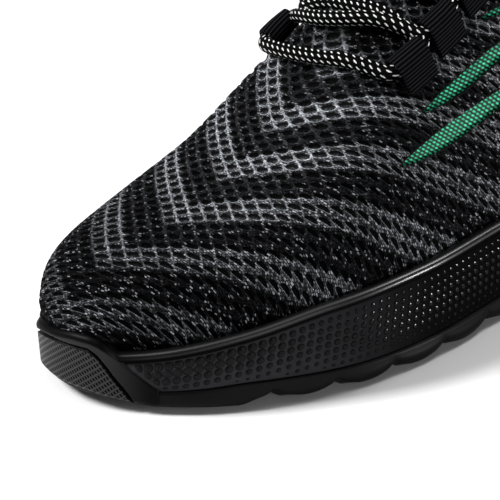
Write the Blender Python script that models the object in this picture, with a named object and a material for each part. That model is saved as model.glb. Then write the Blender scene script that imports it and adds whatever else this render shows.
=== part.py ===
"""Left safety shoe: knit bootie upper on a cup sole with a rubber toe bumper.

Stations run from the heel (0) to the toe in mm; +X is the toe, +Y the wearer's left
(the outer side of this left shoe), +Z up. Every curved piece comes from the outline of
the sole and short tables with a row per section.
"""
from collections import namedtuple

import bmesh
import bpy
import numpy as np

MM = 0.001
SOLE_LENGTH = 300.0
ORIGIN = (150.35, 0.95, 0.0)
GAP = 0.3
PARTING_GAP = 0.45

OUTSOLE_WALL = -0.3
LUG_COUNT = 17
LUG_DEPTH = 2.8
LUG_SHOULDER = 3.0
LUG_BORDER = 0.86
CHANNEL = 0.16
LIP_HEIGHT = 3.4
CUP_INSET = 4.7
UPPER_INSET = 5.0
UPPER_WALL = 2.2
INSOLE_INSET = 7.8
INSOLE_THICK = 4.0
UNDERLAY_THICK = 0.6
UNDERLAY_GAP = 0.4
BUMPER_PROUD = 1.0
BUMPER_PANEL = 0.1
BUMPER_DEPTH = 1.2
BUMPER_BAND = 5.2
BUMPER_FLANGE = 4.6
BUMPER_HEM = 1.2
BUMPER_END_LOW = 0.895
BUMPER_END_HIGH = 0.945
BUMPER_END_Z = (9.0, 24.5)
BUMPER_END_BEVEL = 0.0024
COLLAR_T = 0.44

LACE_RADIUS = 2.5
LACE_REST = 0.8
LACE_POINTS = 11
LACE_CROSS = 4.2
LOOP_WIDTH = 12.5
LOOP_THICK = 1.0
LOOP_REST = 0.4
LOOP_FRONT = 9.6
LOOP_TURN = 5.0
LOOP_CLEAR = 9.4
LOOP_LEAN = 0.4
LACE_BOW = 4.5

Outline = namedtuple("Outline", "x lateral medial")
Height = namedtuple("Height", "x z")
Top = namedtuple("Top", "t x lateral medial z power wall bulge")
Slit = namedtuple("Slit", "name front_t front_q mid_t mid_q rear_t rear_q width")
Eyelet = namedtuple("Eyelet", "row lateral_t lateral_q medial_t medial_q")

HEEL_TIP = (0.0, -1.0)
TOE_TIP = (300.0, -12.0)
OUTLINE = [
    Outline(10.0, 22.0, -22.0),
    Outline(35.0, 36.0, -34.0),
    Outline(75.0, 38.5, -33.5),
    Outline(120.0, 40.0, -35.0),
    Outline(165.0, 48.0, -43.0),
    Outline(200.0, 53.5, -50.0),
    Outline(230.0, 51.5, -51.8),
    Outline(258.0, 41.0, -49.5),
    Outline(282.0, 24.0, -40.0),
    Outline(296.0, 5.0, -28.0),
]
GROUND = [
    Height(0, 5.0), Height(12, 1.6), Height(26, 0.0), Height(95, 0.0), Height(125, 3.0),
    Height(155, 0.0), Height(215, 0.0), Height(250, 1.0), Height(280, 3.2), Height(300, 5.5),
]
PARTING = [
    Height(0, 8.0), Height(250, 8.0), Height(262, 7.6), Height(275, 5.8), Height(289, 4.2), Height(300, 4.0),
]
LIP = [
    Height(0, 38.0), Height(60, 36.0), Height(120, 33.0), Height(165, 33.2), Height(200, 33.0),
    Height(235, 31.5), Height(262, 26.5), Height(285, 22.0), Height(300, 19.5),
]
KNIT_BASE = [
    Height(0, 36.5), Height(60, 34.5), Height(120, 31.5), Height(165, 31.7), Height(200, 31.5),
    Height(235, 30.0), Height(262, 26.0), Height(280, 24.5), Height(300, 24.0),
]
FOOTBED = [
    Height(0, 27.0), Height(60, 25.0), Height(120, 19.0), Height(165, 15.0), Height(200, 13.5),
    Height(250, 12.5), Height(300, 13.0),
]
BUMPER_TOP = [Height(270, 20.0), Height(284, 23.6), Height(291, 25.0), Height(300, 24.3)]
UPPER = [
    Top(0.00, 6, 0, 0, 93, 4.0, 1.0, 0.0),
    Top(0.06, 10, 12, -12, 90, 4.0, 1.0, 0.0),
    Top(0.12, 21, 23, -22, 84, 4.0, 1.0, 0.0),
    Top(0.20, 46, 29.5, -28, 77, 4.0, 1.0, 0.0),
    Top(0.28, 73, 30, -28, 82, 3.6, 0.9, 0.0),
    Top(0.35, 95, 25, -26, 99, 3.0, 0.6, 0.0),
    Top(0.40, 110, 14, -18, 116, 2.5, 0.25, 0.0),
    Top(0.44, 121, -3, -3, 124, 2.2, 0.0, 0.0),
    Top(0.55, 155, -3, -3, 107.6, 2.05, 0.0, 0.0),
    Top(0.65, 187, -4, -4, 91.8, 2.0, 0.0, 0.0),
    Top(0.75, 216, -5, -5, 67.4, 2.1, 0.0, 0.3),
    Top(0.85, 240, -6, -6, 55.9, 2.3, 0.0, 1.9),
    Top(0.93, 254, -7, -7, 52.3, 2.6, 0.0, 2.5),
    Top(1.00, 261, -8, -8, 51.6, 2.6, 0.0, 2.5),
]
SLITS = [
    Slit("lower", 0.634, 0.337, 0.530, 0.300, 0.415, 0.245, 6.2),
    Slit("middle", 0.597, 0.434, 0.500, 0.402, 0.410, 0.360, 5.2),
    Slit("upper", 0.508, 0.531, 0.465, 0.490, 0.415, 0.455, 4.2),
]
EYELETS = [
    Eyelet(1, 0.597, 0.600, 0.634, 0.630),
    Eyelet(2, 0.553, 0.630, 0.590, 0.655),
    Eyelet(3, 0.510, 0.655, 0.545, 0.675),
    Eyelet(4, 0.470, 0.675, 0.503, 0.690),
]
LATERAL = 1
MEDIAL = -1
RIDGE_Y = -3.5

FINISHES = {
    "knit": ((0.035, 0.035, 0.038), 0.85),
    "rubber": ((0.022, 0.022, 0.023), 0.55),
    "gloss": ((0.02, 0.02, 0.021), 0.25),
    "mesh": ((0.02, 0.36, 0.2), 0.7),
    "tape": ((0.015, 0.015, 0.016), 0.6),
    "cord": ((0.03, 0.03, 0.03), 0.7),
    "foam": ((0.05, 0.05, 0.055), 0.9),
}


def clear_scene():
    """Remove what the start-up file holds."""
    for item in list(bpy.data.objects):
        bpy.data.objects.remove(item)


def curve_through(points, steps=40):
    """Dense closed smooth curve through plan points."""
    p = np.asarray(points, float)
    loop = np.vstack([p[-1], p, p[0], p[1]])
    spans = []
    for p0, p1, p2, p3 in zip(loop, loop[1:], loop[2:], loop[3:]):
        pairs = ((p0, p1), (p1, p2), (p2, p3))
        k = np.cumsum([0.0] + [np.linalg.norm(b - a) ** 0.5 for a, b in pairs])
        t = np.linspace(k[1], k[2], steps, endpoint=False)[:, None]
        a1 = (p0 * (k[1] - t) + p1 * (t - k[0])) / (k[1] - k[0])
        a2 = (p1 * (k[2] - t) + p2 * (t - k[1])) / (k[2] - k[1])
        a3 = (p2 * (k[3] - t) + p3 * (t - k[2])) / (k[3] - k[2])
        b1 = (a1 * (k[2] - t) + a2 * (t - k[0])) / (k[2] - k[0])
        b2 = (a2 * (k[3] - t) + a3 * (t - k[1])) / (k[3] - k[1])
        spans.append((b1 * (k[2] - t) + b2 * (t - k[1])) / (k[2] - k[1]))
    return np.vstack(spans + [p[:1]])


def table(rows, column, value):
    """Smooth value of a table's column, its first column being the station."""
    x = np.array([row[0] for row in rows], float)
    y = np.array([getattr(row, column) for row in rows], float)
    h = np.diff(x)
    d = np.diff(y) / h
    m = np.zeros(len(x))
    for i in range(1, len(x) - 1):
        if d[i - 1] * d[i] > 0:
            w1 = 2 * h[i] + h[i - 1]
            w2 = h[i] + 2 * h[i - 1]
            m[i] = (w1 + w2) / (w1 / d[i - 1] + w2 / d[i])
    m[0] = d[0]
    m[-1] = d[-1]
    v = np.clip(np.asarray(value, float), x[0], x[-1])
    i = np.clip(np.searchsorted(x, v) - 1, 0, len(h) - 1)
    s = (v - x[i]) / h[i]
    low = (2 * s**3 - 3 * s**2 + 1) * y[i] + (s**3 - 2 * s**2 + s) * h[i] * m[i]
    high = (3 * s**2 - 2 * s**3) * y[i + 1] + (s**3 - s**2) * h[i] * m[i + 1]
    return low + high


def outline_sides():
    """Both sides of the sole's outline, heel tip to toe tip, with inward normals."""
    lateral = [HEEL_TIP] + [(row.x, row.lateral) for row in OUTLINE] + [TOE_TIP]
    medial = [(row.x, row.medial) for row in reversed(OUTLINE)]
    curve = curve_through(lateral + medial)
    tip = (len(OUTLINE) + 1) * 40
    tangent = np.gradient(np.vstack([curve[-2], curve, curve[1]]), axis=0)[1:-1]
    tangent /= np.linalg.norm(tangent, axis=1)[:, None]
    inward = np.stack([tangent[:, 1], -tangent[:, 0]], 1)
    sides = {}
    halves = ((LATERAL, curve[: tip + 1], inward[: tip + 1]), (MEDIAL, curve[tip:][::-1], inward[tip:][::-1]))
    for side, points, normals in halves:
        steps = np.linalg.norm(np.diff(points, axis=0), axis=1)
        length = np.concatenate([[0.0], np.cumsum(steps)])
        sides[side] = (length / length[-1], points, normals)
    return sides


SIDES = outline_sides()


def rim_frame(t, side):
    """Plan point and inward normal of the outline at fraction t from heel to toe."""
    s, points, normals = SIDES[side]
    p = np.stack([np.interp(t, s, points[:, k]) for k in (0, 1)], -1)
    n = np.stack([np.interp(t, s, normals[:, k]) for k in (0, 1)], -1)
    return p, n / np.linalg.norm(n, axis=-1)[..., None]


def rim(t, side, inset, z):
    """Point inset from the outline at height z."""
    p, n = rim_frame(t, side)
    t, inset, z = np.broadcast_arrays(np.asarray(t, float), inset, z)
    return np.concatenate([p + n * inset[..., None], z[..., None]], -1)


def station(t, side):
    """Station of the outline at fraction t."""
    return rim_frame(t, side)[0][..., 0]


def ground(t, side):
    """Height of the sole's bottom at fraction t."""
    return table(GROUND, "z", station(t, side))


def parting(t, side):
    """Height of the line where outsole and sidewall meet."""
    return ground(t, side) + table(PARTING, "z", station(t, side))


def lip(t, side):
    """Height of the top of the lip bead."""
    return table(LIP, "z", station(t, side))


def footbed(t, side):
    """Height of the cup's floor."""
    return table(FOOTBED, "z", station(t, side))


def bumper_end(z):
    """Fraction t of the bumper's slanted rear end at height z."""
    low, high = BUMPER_END_Z
    share = np.clip((np.asarray(z, float) - low) / (high - low), 0.0, 1.0)
    return BUMPER_END_LOW + (BUMPER_END_HIGH - BUMPER_END_LOW) * share


def upper_point(t, side, q):
    """Outer face of the upper, q from 0 at the sole to 1 at the ridge or the collar."""
    t, q = np.broadcast_arrays(np.asarray(t, float), np.asarray(q, float))
    plan, inward = rim_frame(t, side)
    base = plan + inward * UPPER_INSET
    z_base = table(KNIT_BASE, "z", plan[..., 0])
    top_y = table(UPPER, "lateral" if side == LATERAL else "medial", t)
    top = np.stack([table(UPPER, "x", t), top_y], -1)
    z_top = table(UPPER, "z", t)
    power = table(UPPER, "power", t)
    wall = table(UPPER, "wall", t)
    angle = q * np.pi / 2
    across = 1 - np.cos(angle) ** (2 / power)
    rise = np.sin(angle) ** (2 / power)
    across = across * (1 - wall) + wall * (1.15 * q**2 - 0.15 * np.sin(np.pi * q))
    rise = rise * (1 - wall) + wall * q
    belly = table(UPPER, "bulge", t) * np.sin(np.pi * np.clip(rise, 0.0, 1.0))
    flat = base + (top - base) * across[..., None] - inward * belly[..., None]
    return np.concatenate([flat, (z_base + (z_top - z_base) * rise)[..., None]], -1)


def upper_frame(t, side, q):
    """Point, toe-ward tangent, outward (down the side) tangent and normal on the upper."""
    step = 0.004
    p = upper_point(t, side, q)
    along = upper_point(t + step, side, q) - upper_point(t - step, side, q)
    down = upper_point(t, side, q - step) - upper_point(t, side, q + step)
    normal = np.cross(down, along) * -side
    normal /= np.linalg.norm(normal)
    along_length = np.linalg.norm(along) / (2 * step)
    down_length = np.linalg.norm(down) / (2 * step)
    return p, along / np.linalg.norm(along), down / np.linalg.norm(down), normal, along_length, down_length


def over_upper(t, side, q, height):
    """Point standing off the upper's outer face by a height along its normal."""
    p, _, _, normal, _, _ = upper_frame(t, side, q)
    return p + normal * height


class Body:
    """Collects the points and faces of one closed piece."""

    def __init__(self):
        self.points = []
        self.faces = []

    def row(self, points):
        """Add a row of points and give back its indices."""
        first = len(self.points)
        self.points.extend(tuple(p) for p in points)
        return list(range(first, len(self.points)))

    def bridge(self, a, b, closed=False):
        """Quads between two rows of equal length."""
        count = len(a) if closed else len(a) - 1
        for i in range(count):
            j = (i + 1) % len(a)
            self.face(a[i], a[j], b[j], b[i])

    def face(self, *corners):
        """Add a face, leaving out repeated corners."""
        kept = []
        for corner in corners:
            if corner not in kept:
                kept.append(corner)
        if len(kept) > 2:
            self.faces.append(kept)

    def ladder(self, ring):
        """Cap a ring with rungs from its one side to the other."""
        n = len(ring)
        for i in range(n // 2):
            self.face(ring[i], ring[i + 1], ring[n - i - 1], ring[(n - i) % n])

    def finish(self, name, finish):
        """Make the named object, with its faces turned outward."""
        data = bpy.data.meshes.new(name)
        shifted = (np.array(self.points) - np.array(ORIGIN)) * MM
        data.from_pydata([tuple(p) for p in shifted], [], self.faces)
        work = bmesh.new()
        work.from_mesh(data)
        bmesh.ops.remove_doubles(work, verts=work.verts, dist=0.00002)
        bmesh.ops.triangulate(work, faces=work.faces)
        bmesh.ops.recalc_face_normals(work, faces=work.faces)
        work.to_mesh(data)
        work.free()
        item = bpy.data.objects.new(name, data)
        bpy.context.scene.collection.objects.link(item)
        color, roughness = FINISHES[finish]
        material = bpy.data.materials.get(finish)
        if material is None:
            material = bpy.data.materials.new(finish)
            material.use_nodes = True
            shader = material.node_tree.nodes["Principled BSDF"]
            shader.inputs["Base Color"].default_value = (*color, 1.0)
            shader.inputs["Roughness"].default_value = roughness
        data.materials.append(material)
        return item


def ring_points(fractions, inset, z, step_t=None, step_inset=0.0):
    """Closed ring round the outline: lateral heel to toe, then medial toe to heel."""
    rows = []
    for side, order in ((LATERAL, fractions), (MEDIAL, fractions[1:-1][::-1])):
        t = np.array(order)
        extra = np.where(t > step_t, step_inset, 0.0) if step_t is not None else 0.0
        rows.append(rim(t, side, inset + extra, z(t, side)))
    return np.vstack(rows)


def with_step(count, step_t):
    """Even fractions heel to toe with a pair of close ones at a step."""
    even = np.linspace(0.0, 1.0, count)
    kept = [t for t in even if abs(t - BUMPER_END_LOW) > 0.012]
    scaled = [t if t < BUMPER_END_LOW else 1 - (1 - t) * (1 - step_t) / (1 - BUMPER_END_LOW) for t in kept]
    return sorted(scaled + [step_t - 0.0008, step_t + 0.0002])


def build_outsole():
    """Tread with lugs, its top flush below the sidewall, stepped in behind the bumper."""
    body = Body()
    pattern = ((0.0, 0.0), (0.76, 0.0), (0.82, 1.0), (0.94, 1.0))
    lines = [((k + part) / LUG_COUNT, cut) for k in range(LUG_COUNT) for part, cut in pattern][1:]
    near = BUMPER_END_LOW - 0.0012
    lines = [line for line in lines if abs(line[0] - near) > 0.004]
    lines = sorted(lines + [(near - 0.0004, 0.0), (near + 0.0004, 0.0)])
    columns = (1.0, LUG_BORDER, CHANNEL, CHANNEL * 0.6)
    top_rows = []
    bottom_rows = []
    for t, cut in lines:
        inset = OUTSOLE_WALL + (BUMPER_DEPTH + GAP - OUTSOLE_WALL if t > near else 0.0)
        edge = {side: rim(np.array(t), side, inset, 0.0) for side in (LATERAL, MEDIAL)}
        middle = (edge[LATERAL] + edge[MEDIAL]) / 2
        across = []
        for side, order in ((LATERAL, columns), (MEDIAL, columns[::-1])):
            floor = float(ground(t, side))
            for share in order:
                point = middle + (edge[side] - middle) * share
                if share == 1.0:
                    lift = LUG_SHOULDER + 1.6 * cut
                elif share < CHANNEL:
                    lift = LUG_DEPTH
                else:
                    lift = LUG_DEPTH * cut
                across.append((point[0], point[1], floor + lift))
        bottom_rows.append(body.row(across))
        tops = [(*edge[side][:2], float(parting(t, side))) for side in (LATERAL, MEDIAL)]
        top_rows.append(body.row(tops))
    heel_low = body.row([rim(np.array(0.0), LATERAL, OUTSOLE_WALL, ground(0.0, LATERAL) + LUG_SHOULDER)])[0]
    heel_high = body.row([rim(np.array(0.0), LATERAL, OUTSOLE_WALL, parting(0.0, LATERAL))])[0]
    toe_inset = BUMPER_DEPTH + GAP
    toe_low = body.row([rim(np.array(1.0), LATERAL, toe_inset, ground(1.0, LATERAL) + LUG_SHOULDER)])[0]
    toe_high = body.row([rim(np.array(1.0), LATERAL, toe_inset, parting(1.0, LATERAL))])[0]
    last = len(columns) * 2 - 1
    ends = (([heel_low] * (last + 1), [heel_high] * 2), ([toe_low] * (last + 1), [toe_high] * 2))
    low_rows = [ends[0][0]] + bottom_rows + [ends[1][0]]
    high_rows = [ends[0][1]] + top_rows + [ends[1][1]]
    for a, b, c, d in zip(low_rows, low_rows[1:], high_rows, high_rows[1:]):
        body.bridge(a, b)
        body.bridge(c, d)
        body.face(a[0], b[0], d[0], c[0])
        body.face(a[last], b[last], d[1], c[1])
    return body.finish("outsole", "rubber")


def build_midsole():
    """Cup of the sole: sidewall, rim and floor, stepped in behind the bumper."""
    body = Body()
    rim_height = LIP_HEIGHT

    def wall(share):
        def height(t, side):
            low = parting(t, side) + PARTING_GAP
            return low + (lip(t, side) - rim_height - low) * share
        return height

    levels = ((0.0, 0.7), (0.22, 0.0), (0.7, 0.1), (1.0, 0.9))
    rings = []
    for share, inset in levels:
        z_near = float(wall(share)(BUMPER_END_LOW + 0.02, LATERAL))
        step_t = float(bumper_end(z_near))
        extra = BUMPER_DEPTH + GAP - inset
        points = ring_points(with_step(50, step_t), inset, wall(share), step_t, extra)
        rings.append(body.row(points))
    inner = with_step(50, BUMPER_END_LOW)
    rings.append(body.row(ring_points(inner, CUP_INSET, wall(1.0))))
    rings.append(body.row(ring_points(inner, CUP_INSET, footbed)))
    body.ladder(rings[0])
    for a, b in zip(rings, rings[1:]):
        body.bridge(a, b, closed=True)
    body.ladder(rings[-1])
    return body.finish("midsole", "rubber")


def build_lip():
    """Glossy bead on the cup's rim, from one end of the bumper round the heel to the other."""
    body = Body()
    end = float(bumper_end(18.0)) - 0.002
    fractions = np.linspace(0.0, end, 31)
    walk = [(t, MEDIAL) for t in fractions[::-1]] + [(t, LATERAL) for t in fractions[1:]]
    profile = ((0.9, 0.0), (0.15, 1.1), (0.6, 2.5), (1.9, 3.1), (3.6, 2.9), (4.6, 2.0), (4.6, 0.0))
    rows = []
    for t, side in walk:
        floor = float(lip(t, side)) - LIP_HEIGHT + GAP
        rows.append(body.row([rim(np.array(t), side, inset, floor + z) for inset, z in profile]))
    for a, b in zip(rows, rows[1:]):
        body.bridge(a, b, closed=True)
    body.faces.append(rows[0])
    body.faces.append(rows[-1])
    return body.finish("sole_lip", "gloss")


def build_bumper():
    """Rubber bumper round the toe: raised band over a set-back panel, slanted rear ends."""
    body = Body()
    shares = (1.0, 0.96, 0.9, 0.83, 0.81)
    inner_shares = tuple(np.linspace(0.7, 0.0, 8))
    walk = [(s, LATERAL) for s in shares + inner_shares]
    walk += [(s, MEDIAL) for s in (inner_shares[:-1][::-1] + shares[::-1])]
    rows = []
    for share, side in walk:
        banded = share > 0.82

        def place(inset, z):
            t = 1 - (1 - bumper_end(z) - BUMPER_END_BEVEL * (inset + BUMPER_PROUD)) * share
            return rim(np.array(float(t)), side, inset, z)

        near_t = 1 - (1 - 0.92) * share
        x = float(station(near_t, side))
        low = float(ground(near_t, side)) + BUMPER_HEM
        high = float(table(BUMPER_TOP, "z", x)) - (2.6 if share > 0.98 else 0.9 if share > 0.94 else 0.0)
        shelf = float(lip(near_t, side)) - LIP_HEIGHT + GAP
        seam = high - BUMPER_BAND
        face = -BUMPER_PROUD if banded else BUMPER_PANEL
        profile = (
            (0.9, low),
            (face + 0.1, low + 1.6),
            (face, seam - 0.5),
            (-BUMPER_PROUD, seam + 0.3),
            (-BUMPER_PROUD, high - 1.3),
            (-BUMPER_PROUD + 0.9, high - 0.2),
            (1.6, high),
            (BUMPER_FLANGE, high - 0.4),
            (BUMPER_FLANGE, shelf),
            (BUMPER_DEPTH, shelf),
            (BUMPER_DEPTH, low),
        )
        rows.append(body.row([place(inset, z) for inset, z in profile]))
    for a, b in zip(rows, rows[1:]):
        body.bridge(a, b, closed=True)
    body.faces.append(rows[0])
    body.faces.append(rows[-1])
    return body.finish("toe_bumper", "rubber")


def upper_columns():
    """Fractions t of the upper's section rows, heel to toe."""
    rear = np.linspace(0.0, COLLAR_T, 17)
    front = np.linspace(COLLAR_T, 1.0, 26)[1:]
    return np.concatenate([rear, front])


def upper_shell(offset):
    """Rows of the upper's skin at an offset inside its outer face, ring by ring."""
    columns = upper_columns()
    levels = np.array([0.0, 0.05, 0.12, 0.21, 0.31, 0.42, 0.53, 0.64, 0.75, 0.87, 1.0])
    walk = [(t, LATERAL) for t in columns] + [(t, MEDIAL) for t in columns[1:-1][::-1]]
    rings = []
    base = []
    for t, side in walk:
        base.append(rim(np.array(t), side, UPPER_INSET + offset, footbed(t, side) + GAP))
    rings.append(base)
    for q in levels:
        ring = []
        for t, side in walk:
            ring.append(inside_point(t, side, q, offset))
        rings.append(ring)
    return walk, rings


def inside_point(t, side, q, offset):
    """Outer face moved inward by an offset, level with it where the skin ends."""
    point = upper_point(t, side, q)
    if offset == 0.0:
        return point
    step = 0.004
    low = max(q - step, 0.0)
    high = min(q + step, 1.0)
    up = upper_point(t, side, high) - upper_point(t, side, low)
    ahead = walk_point(t, side, q, step) - walk_point(t, side, q, -step)
    if q == 1.0 and t >= COLLAR_T:
        normal = np.array([0.0, 0.0, 1.0])
        slope = upper_point(min(t + step, 1.0), side, 1.0) - upper_point(t - step, side, 1.0)
        normal = np.array([-slope[2], 0.0, slope[0]])
    else:
        normal = np.cross(up, ahead) * side
    normal = normal / np.linalg.norm(normal)
    plan, inward = rim_frame(t, side)
    if q == 0.0:
        normal = np.array([-inward[0], -inward[1], 0.0])
    elif q == 1.0 and t < COLLAR_T:
        normal = np.array([normal[0], normal[1], 0.0])
        normal = normal / np.linalg.norm(normal)
    return point - normal * offset


def walk_point(t, side, q, step):
    """Point of the upper a step toe-ward, carried over to the other side at the tips."""
    moved = t + step
    if moved > 1.0:
        return upper_point(2.0 - moved, -side, q)
    if moved < 0.0:
        return upper_point(-moved, -side, q)
    return upper_point(moved, side, q)


def build_upper():
    """Knit bootie: one hollow shell, open at the collar, underneath and at the slits."""
    body = Body()
    walk, outer = upper_shell(0.0)
    _, inner = upper_shell(UPPER_WALL)
    outer_rows = [body.row(ring) for ring in outer]
    inner_rows = [body.row(ring) for ring in inner]
    count = len(walk)
    columns = upper_columns()
    split = int(np.argmin(np.abs(columns - COLLAR_T)))
    toe = len(columns) - 1
    for rows in (outer_rows, inner_rows):
        top = rows[-1]
        for i in range(split, toe):
            top[count - i] = top[i]
        for a, b in zip(rows, rows[1:]):
            body.bridge(a, b, closed=True)
    body.bridge(outer_rows[0], inner_rows[0], closed=True)
    rim_order = list(range(count - split, count)) + list(range(0, split + 1))
    body.bridge([outer_rows[-1][i] for i in rim_order], [inner_rows[-1][i] for i in rim_order])
    shell = body.finish("upper", "knit")
    for slit in SLITS:
        cut_slit(shell, slit)
    return shell


def slit_centre(slit, share):
    """Middle line of a slit, share 0 at its front tip and 1 at its rear one."""
    ends = np.array([0.0, 0.55, 1.0])
    t = np.interp(share, ends, [slit.front_t, slit.mid_t, slit.rear_t])
    q = np.interp(share, ends, [slit.front_q, slit.mid_q, slit.rear_q])
    return float(t), float(q)


def slit_half_width(slit, share):
    """Half the opening of a slit, pointed at both tips and fullest behind the middle."""
    return 0.5 * slit.width * np.sin(np.pi * share**0.85) ** 0.8


def cut_slit(shell, slit):
    """Cut a pointed slit through the upper's wall."""
    body = Body()
    shares = np.linspace(0.0, 1.0, 13)
    layers = []
    for height in (2.5, -UPPER_WALL - 2.0):
        edges = {1: [], -1: []}
        for share in shares:
            t, q = slit_centre(slit, share)
            p, _, down, normal, _, _ = upper_frame(t, LATERAL, q)
            half = slit_half_width(slit, share)
            for hand in (1, -1):
                edges[hand].append(p + normal * height + down * half * hand)
        layers.append(body.row(edges[1] + edges[-1][1:-1][::-1]))
    body.bridge(layers[0], layers[1], closed=True)
    body.ladder(layers[0])
    body.ladder(layers[1])
    cutter = body.finish("cutter_" + slit.name, "knit")
    cutter.hide_render = True
    cutter.display_type = "WIRE"
    cut = shell.modifiers.new("slit_" + slit.name, "BOOLEAN")
    cut.operation = "DIFFERENCE"
    cut.solver = "EXACT"
    cut.object = cutter


def build_underlay():
    """Green mesh sheet lying inside the upper behind the slits."""
    body = Body()
    fractions = [t for t in upper_columns() if 0.37 < t < 0.67]
    layers = []
    for offset in (UPPER_WALL + UNDERLAY_GAP, UPPER_WALL + UNDERLAY_GAP + UNDERLAY_THICK):
        rows = []
        for t in fractions:
            share = (t - fractions[0]) / (fractions[-1] - fractions[0])
            low = 0.17 + 0.06 * share
            high = 0.57 - 0.10 * share
            rows.append(body.row([inside_point(t, LATERAL, q, offset) for q in np.linspace(low, high, 7)]))
        layers.append(rows)
    for rows in layers:
        for a, b in zip(rows, rows[1:]):
            body.bridge(a, b)
    outer, inner = layers
    body.bridge(outer[0], inner[0])
    body.bridge(outer[-1], inner[-1])
    for side in (0, -1):
        body.bridge([row[side] for row in outer], [row[side] for row in inner])
    return body.finish("slit_underlay", "mesh")


def build_insole():
    """Foam insole on the cup's floor inside the upper."""
    body = Body()
    fractions = list(np.linspace(0.0, 1.0, 33))
    low = body.row(ring_points(fractions, INSOLE_INSET, lambda t, side: footbed(t, side) + GAP))
    high = body.row(ring_points(fractions, INSOLE_INSET, lambda t, side: footbed(t, side) + GAP + INSOLE_THICK))
    body.bridge(low, high, closed=True)
    body.ladder(low)
    body.ladder(high)
    return body.finish("insole", "foam")


def eyelet_at(eyelet, side):
    """Place t, q of a loop on one side of the lacing."""
    if side == LATERAL:
        return eyelet.lateral_t, eyelet.lateral_q
    return eyelet.medial_t, eyelet.medial_q


def loop_place(eyelet, side):
    """Function from a loop's own along, out and up in mm to a point over the upper."""
    t, q = eyelet_at(eyelet, side)
    _, _, _, _, along_length, down_length = upper_frame(t, side, q)

    def place(along, out, up):
        return over_upper(t + (along - LOOP_LEAN * out) / along_length, side, q - out / down_length, up)

    return place


def build_loop(eyelet, side):
    """Folded tape loop: a flat tunnel along the foot, its two layers sewn together at the root."""
    outer = ((9.0, 0.0), (3.0, 0.0), (-3.4, 0.0), (-4.9, 1.2), (-5.6, 3.4), (-4.9, 5.9), (-3.0, 7.3),
             (-0.6, 7.6), (2.4, 6.4), (5.4, 3.9), (9.0, 2.1))
    inner = ((5.2, 1.0), (1.0, 1.0), (-3.0, 1.0), (-4.0, 1.9), (-4.55, 3.5), (-4.0, 5.3), (-2.7, 6.35),
             (-0.8, 6.55), (1.8, 5.55), (4.2, 3.4))
    place = loop_place(eyelet, side)
    body = Body()
    half = LOOP_WIDTH / 2
    ends = []
    for along in (-half, 0.0, half):
        ring = body.row([place(along, out, up + LOOP_REST) for out, up in outer])
        hole = body.row([place(along, out, up + LOOP_REST) for out, up in inner])
        ends.append((ring, hole))
    for (ring_a, hole_a), (ring_b, hole_b) in zip(ends, ends[1:]):
        body.bridge(ring_a, ring_b, closed=True)
        body.bridge(hole_a, hole_b, closed=True)
    for ring, hole in (ends[0], ends[-1]):
        body.face(ring[0], ring[1], hole[0])
        for i in range(len(inner) - 1):
            body.face(ring[i + 1], ring[i + 2], hole[i + 1], hole[i])
        body.face(ring[0], hole[0], hole[-1], ring[-1])
    name = "lace_loop_" + ("lateral_" if side == LATERAL else "medial_") + str(eyelet.row)
    return body.finish(name, "tape")


def upper_at(x, y, t, q):
    """Side, t and q of the upper's outer face over a plan point, sought from a first guess."""
    side = LATERAL if y > RIDGE_Y else MEDIAL
    target = np.array([x, y])
    for _ in range(12):
        here = upper_point(t, side, q)[:2]
        by_t = (upper_point(t + 0.002, side, q)[:2] - here) / 0.002
        by_q = (upper_point(t, side, q - 0.002)[:2] - here) / -0.002
        move = np.linalg.solve(np.stack([by_t, by_q], 1), target - here)
        t = float(np.clip(t + np.clip(move[0], -0.05, 0.05), 0.45, 0.95))
        q = float(np.clip(q + np.clip(move[1], -0.1, 0.1), 0.3, 0.985))
    return side, t, q


def lace_path(start, end, lift, bow):
    """Points of a strand, straight in plan from one side to the other, standing off the upper."""
    a = upper_point(start[0], start[2], start[1])
    b = upper_point(end[0], end[2], end[1])
    points = []
    t = start[0]
    q = start[1]
    for share in np.linspace(0.0, 1.0, 25):
        x, y = (a + (b - a) * share)[:2]
        x = x + bow * np.sin(np.pi * share)
        side, t, q = upper_at(x, y, t, q)
        height = LACE_RADIUS + LACE_REST + lift * np.sin(np.pi * share) ** 2
        points.append(over_upper(t, side, q, height))
    return even_path(np.array(points), LACE_POINTS)


def even_path(points, count):
    """Soften a path's corners and space its points evenly."""
    for _ in range(2):
        points[1:-1] = (points[:-2] + 2 * points[1:-1] + points[2:]) / 4
    steps = np.linalg.norm(np.diff(points, axis=0), axis=1)
    length = np.concatenate([[0.0], np.cumsum(steps)])
    even = np.linspace(0.0, length[-1], count)
    return np.stack([np.interp(even, length, points[:, k]) for k in range(3)], 1)


def tube(name, path):
    """Round cord along a path, with flat ends."""
    body = Body()
    rows = []
    for i, p in enumerate(path):
        ahead = path[min(i + 1, len(path) - 1)] - path[max(i - 1, 0)]
        ahead /= np.linalg.norm(ahead)
        side = np.cross(ahead, (0.0, 0.0, 1.0))
        side /= np.linalg.norm(side)
        up = np.cross(side, ahead)
        angles = np.arange(8) * np.pi / 4
        rows.append(body.row([p + LACE_RADIUS * (np.cos(a) * side + np.sin(a) * up) for a in angles]))
    for a, b in zip(rows, rows[1:]):
        body.bridge(a, b, closed=True)
    body.faces.append(rows[0])
    body.faces.append(rows[-1])
    return body.finish(name, "cord")


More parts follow.
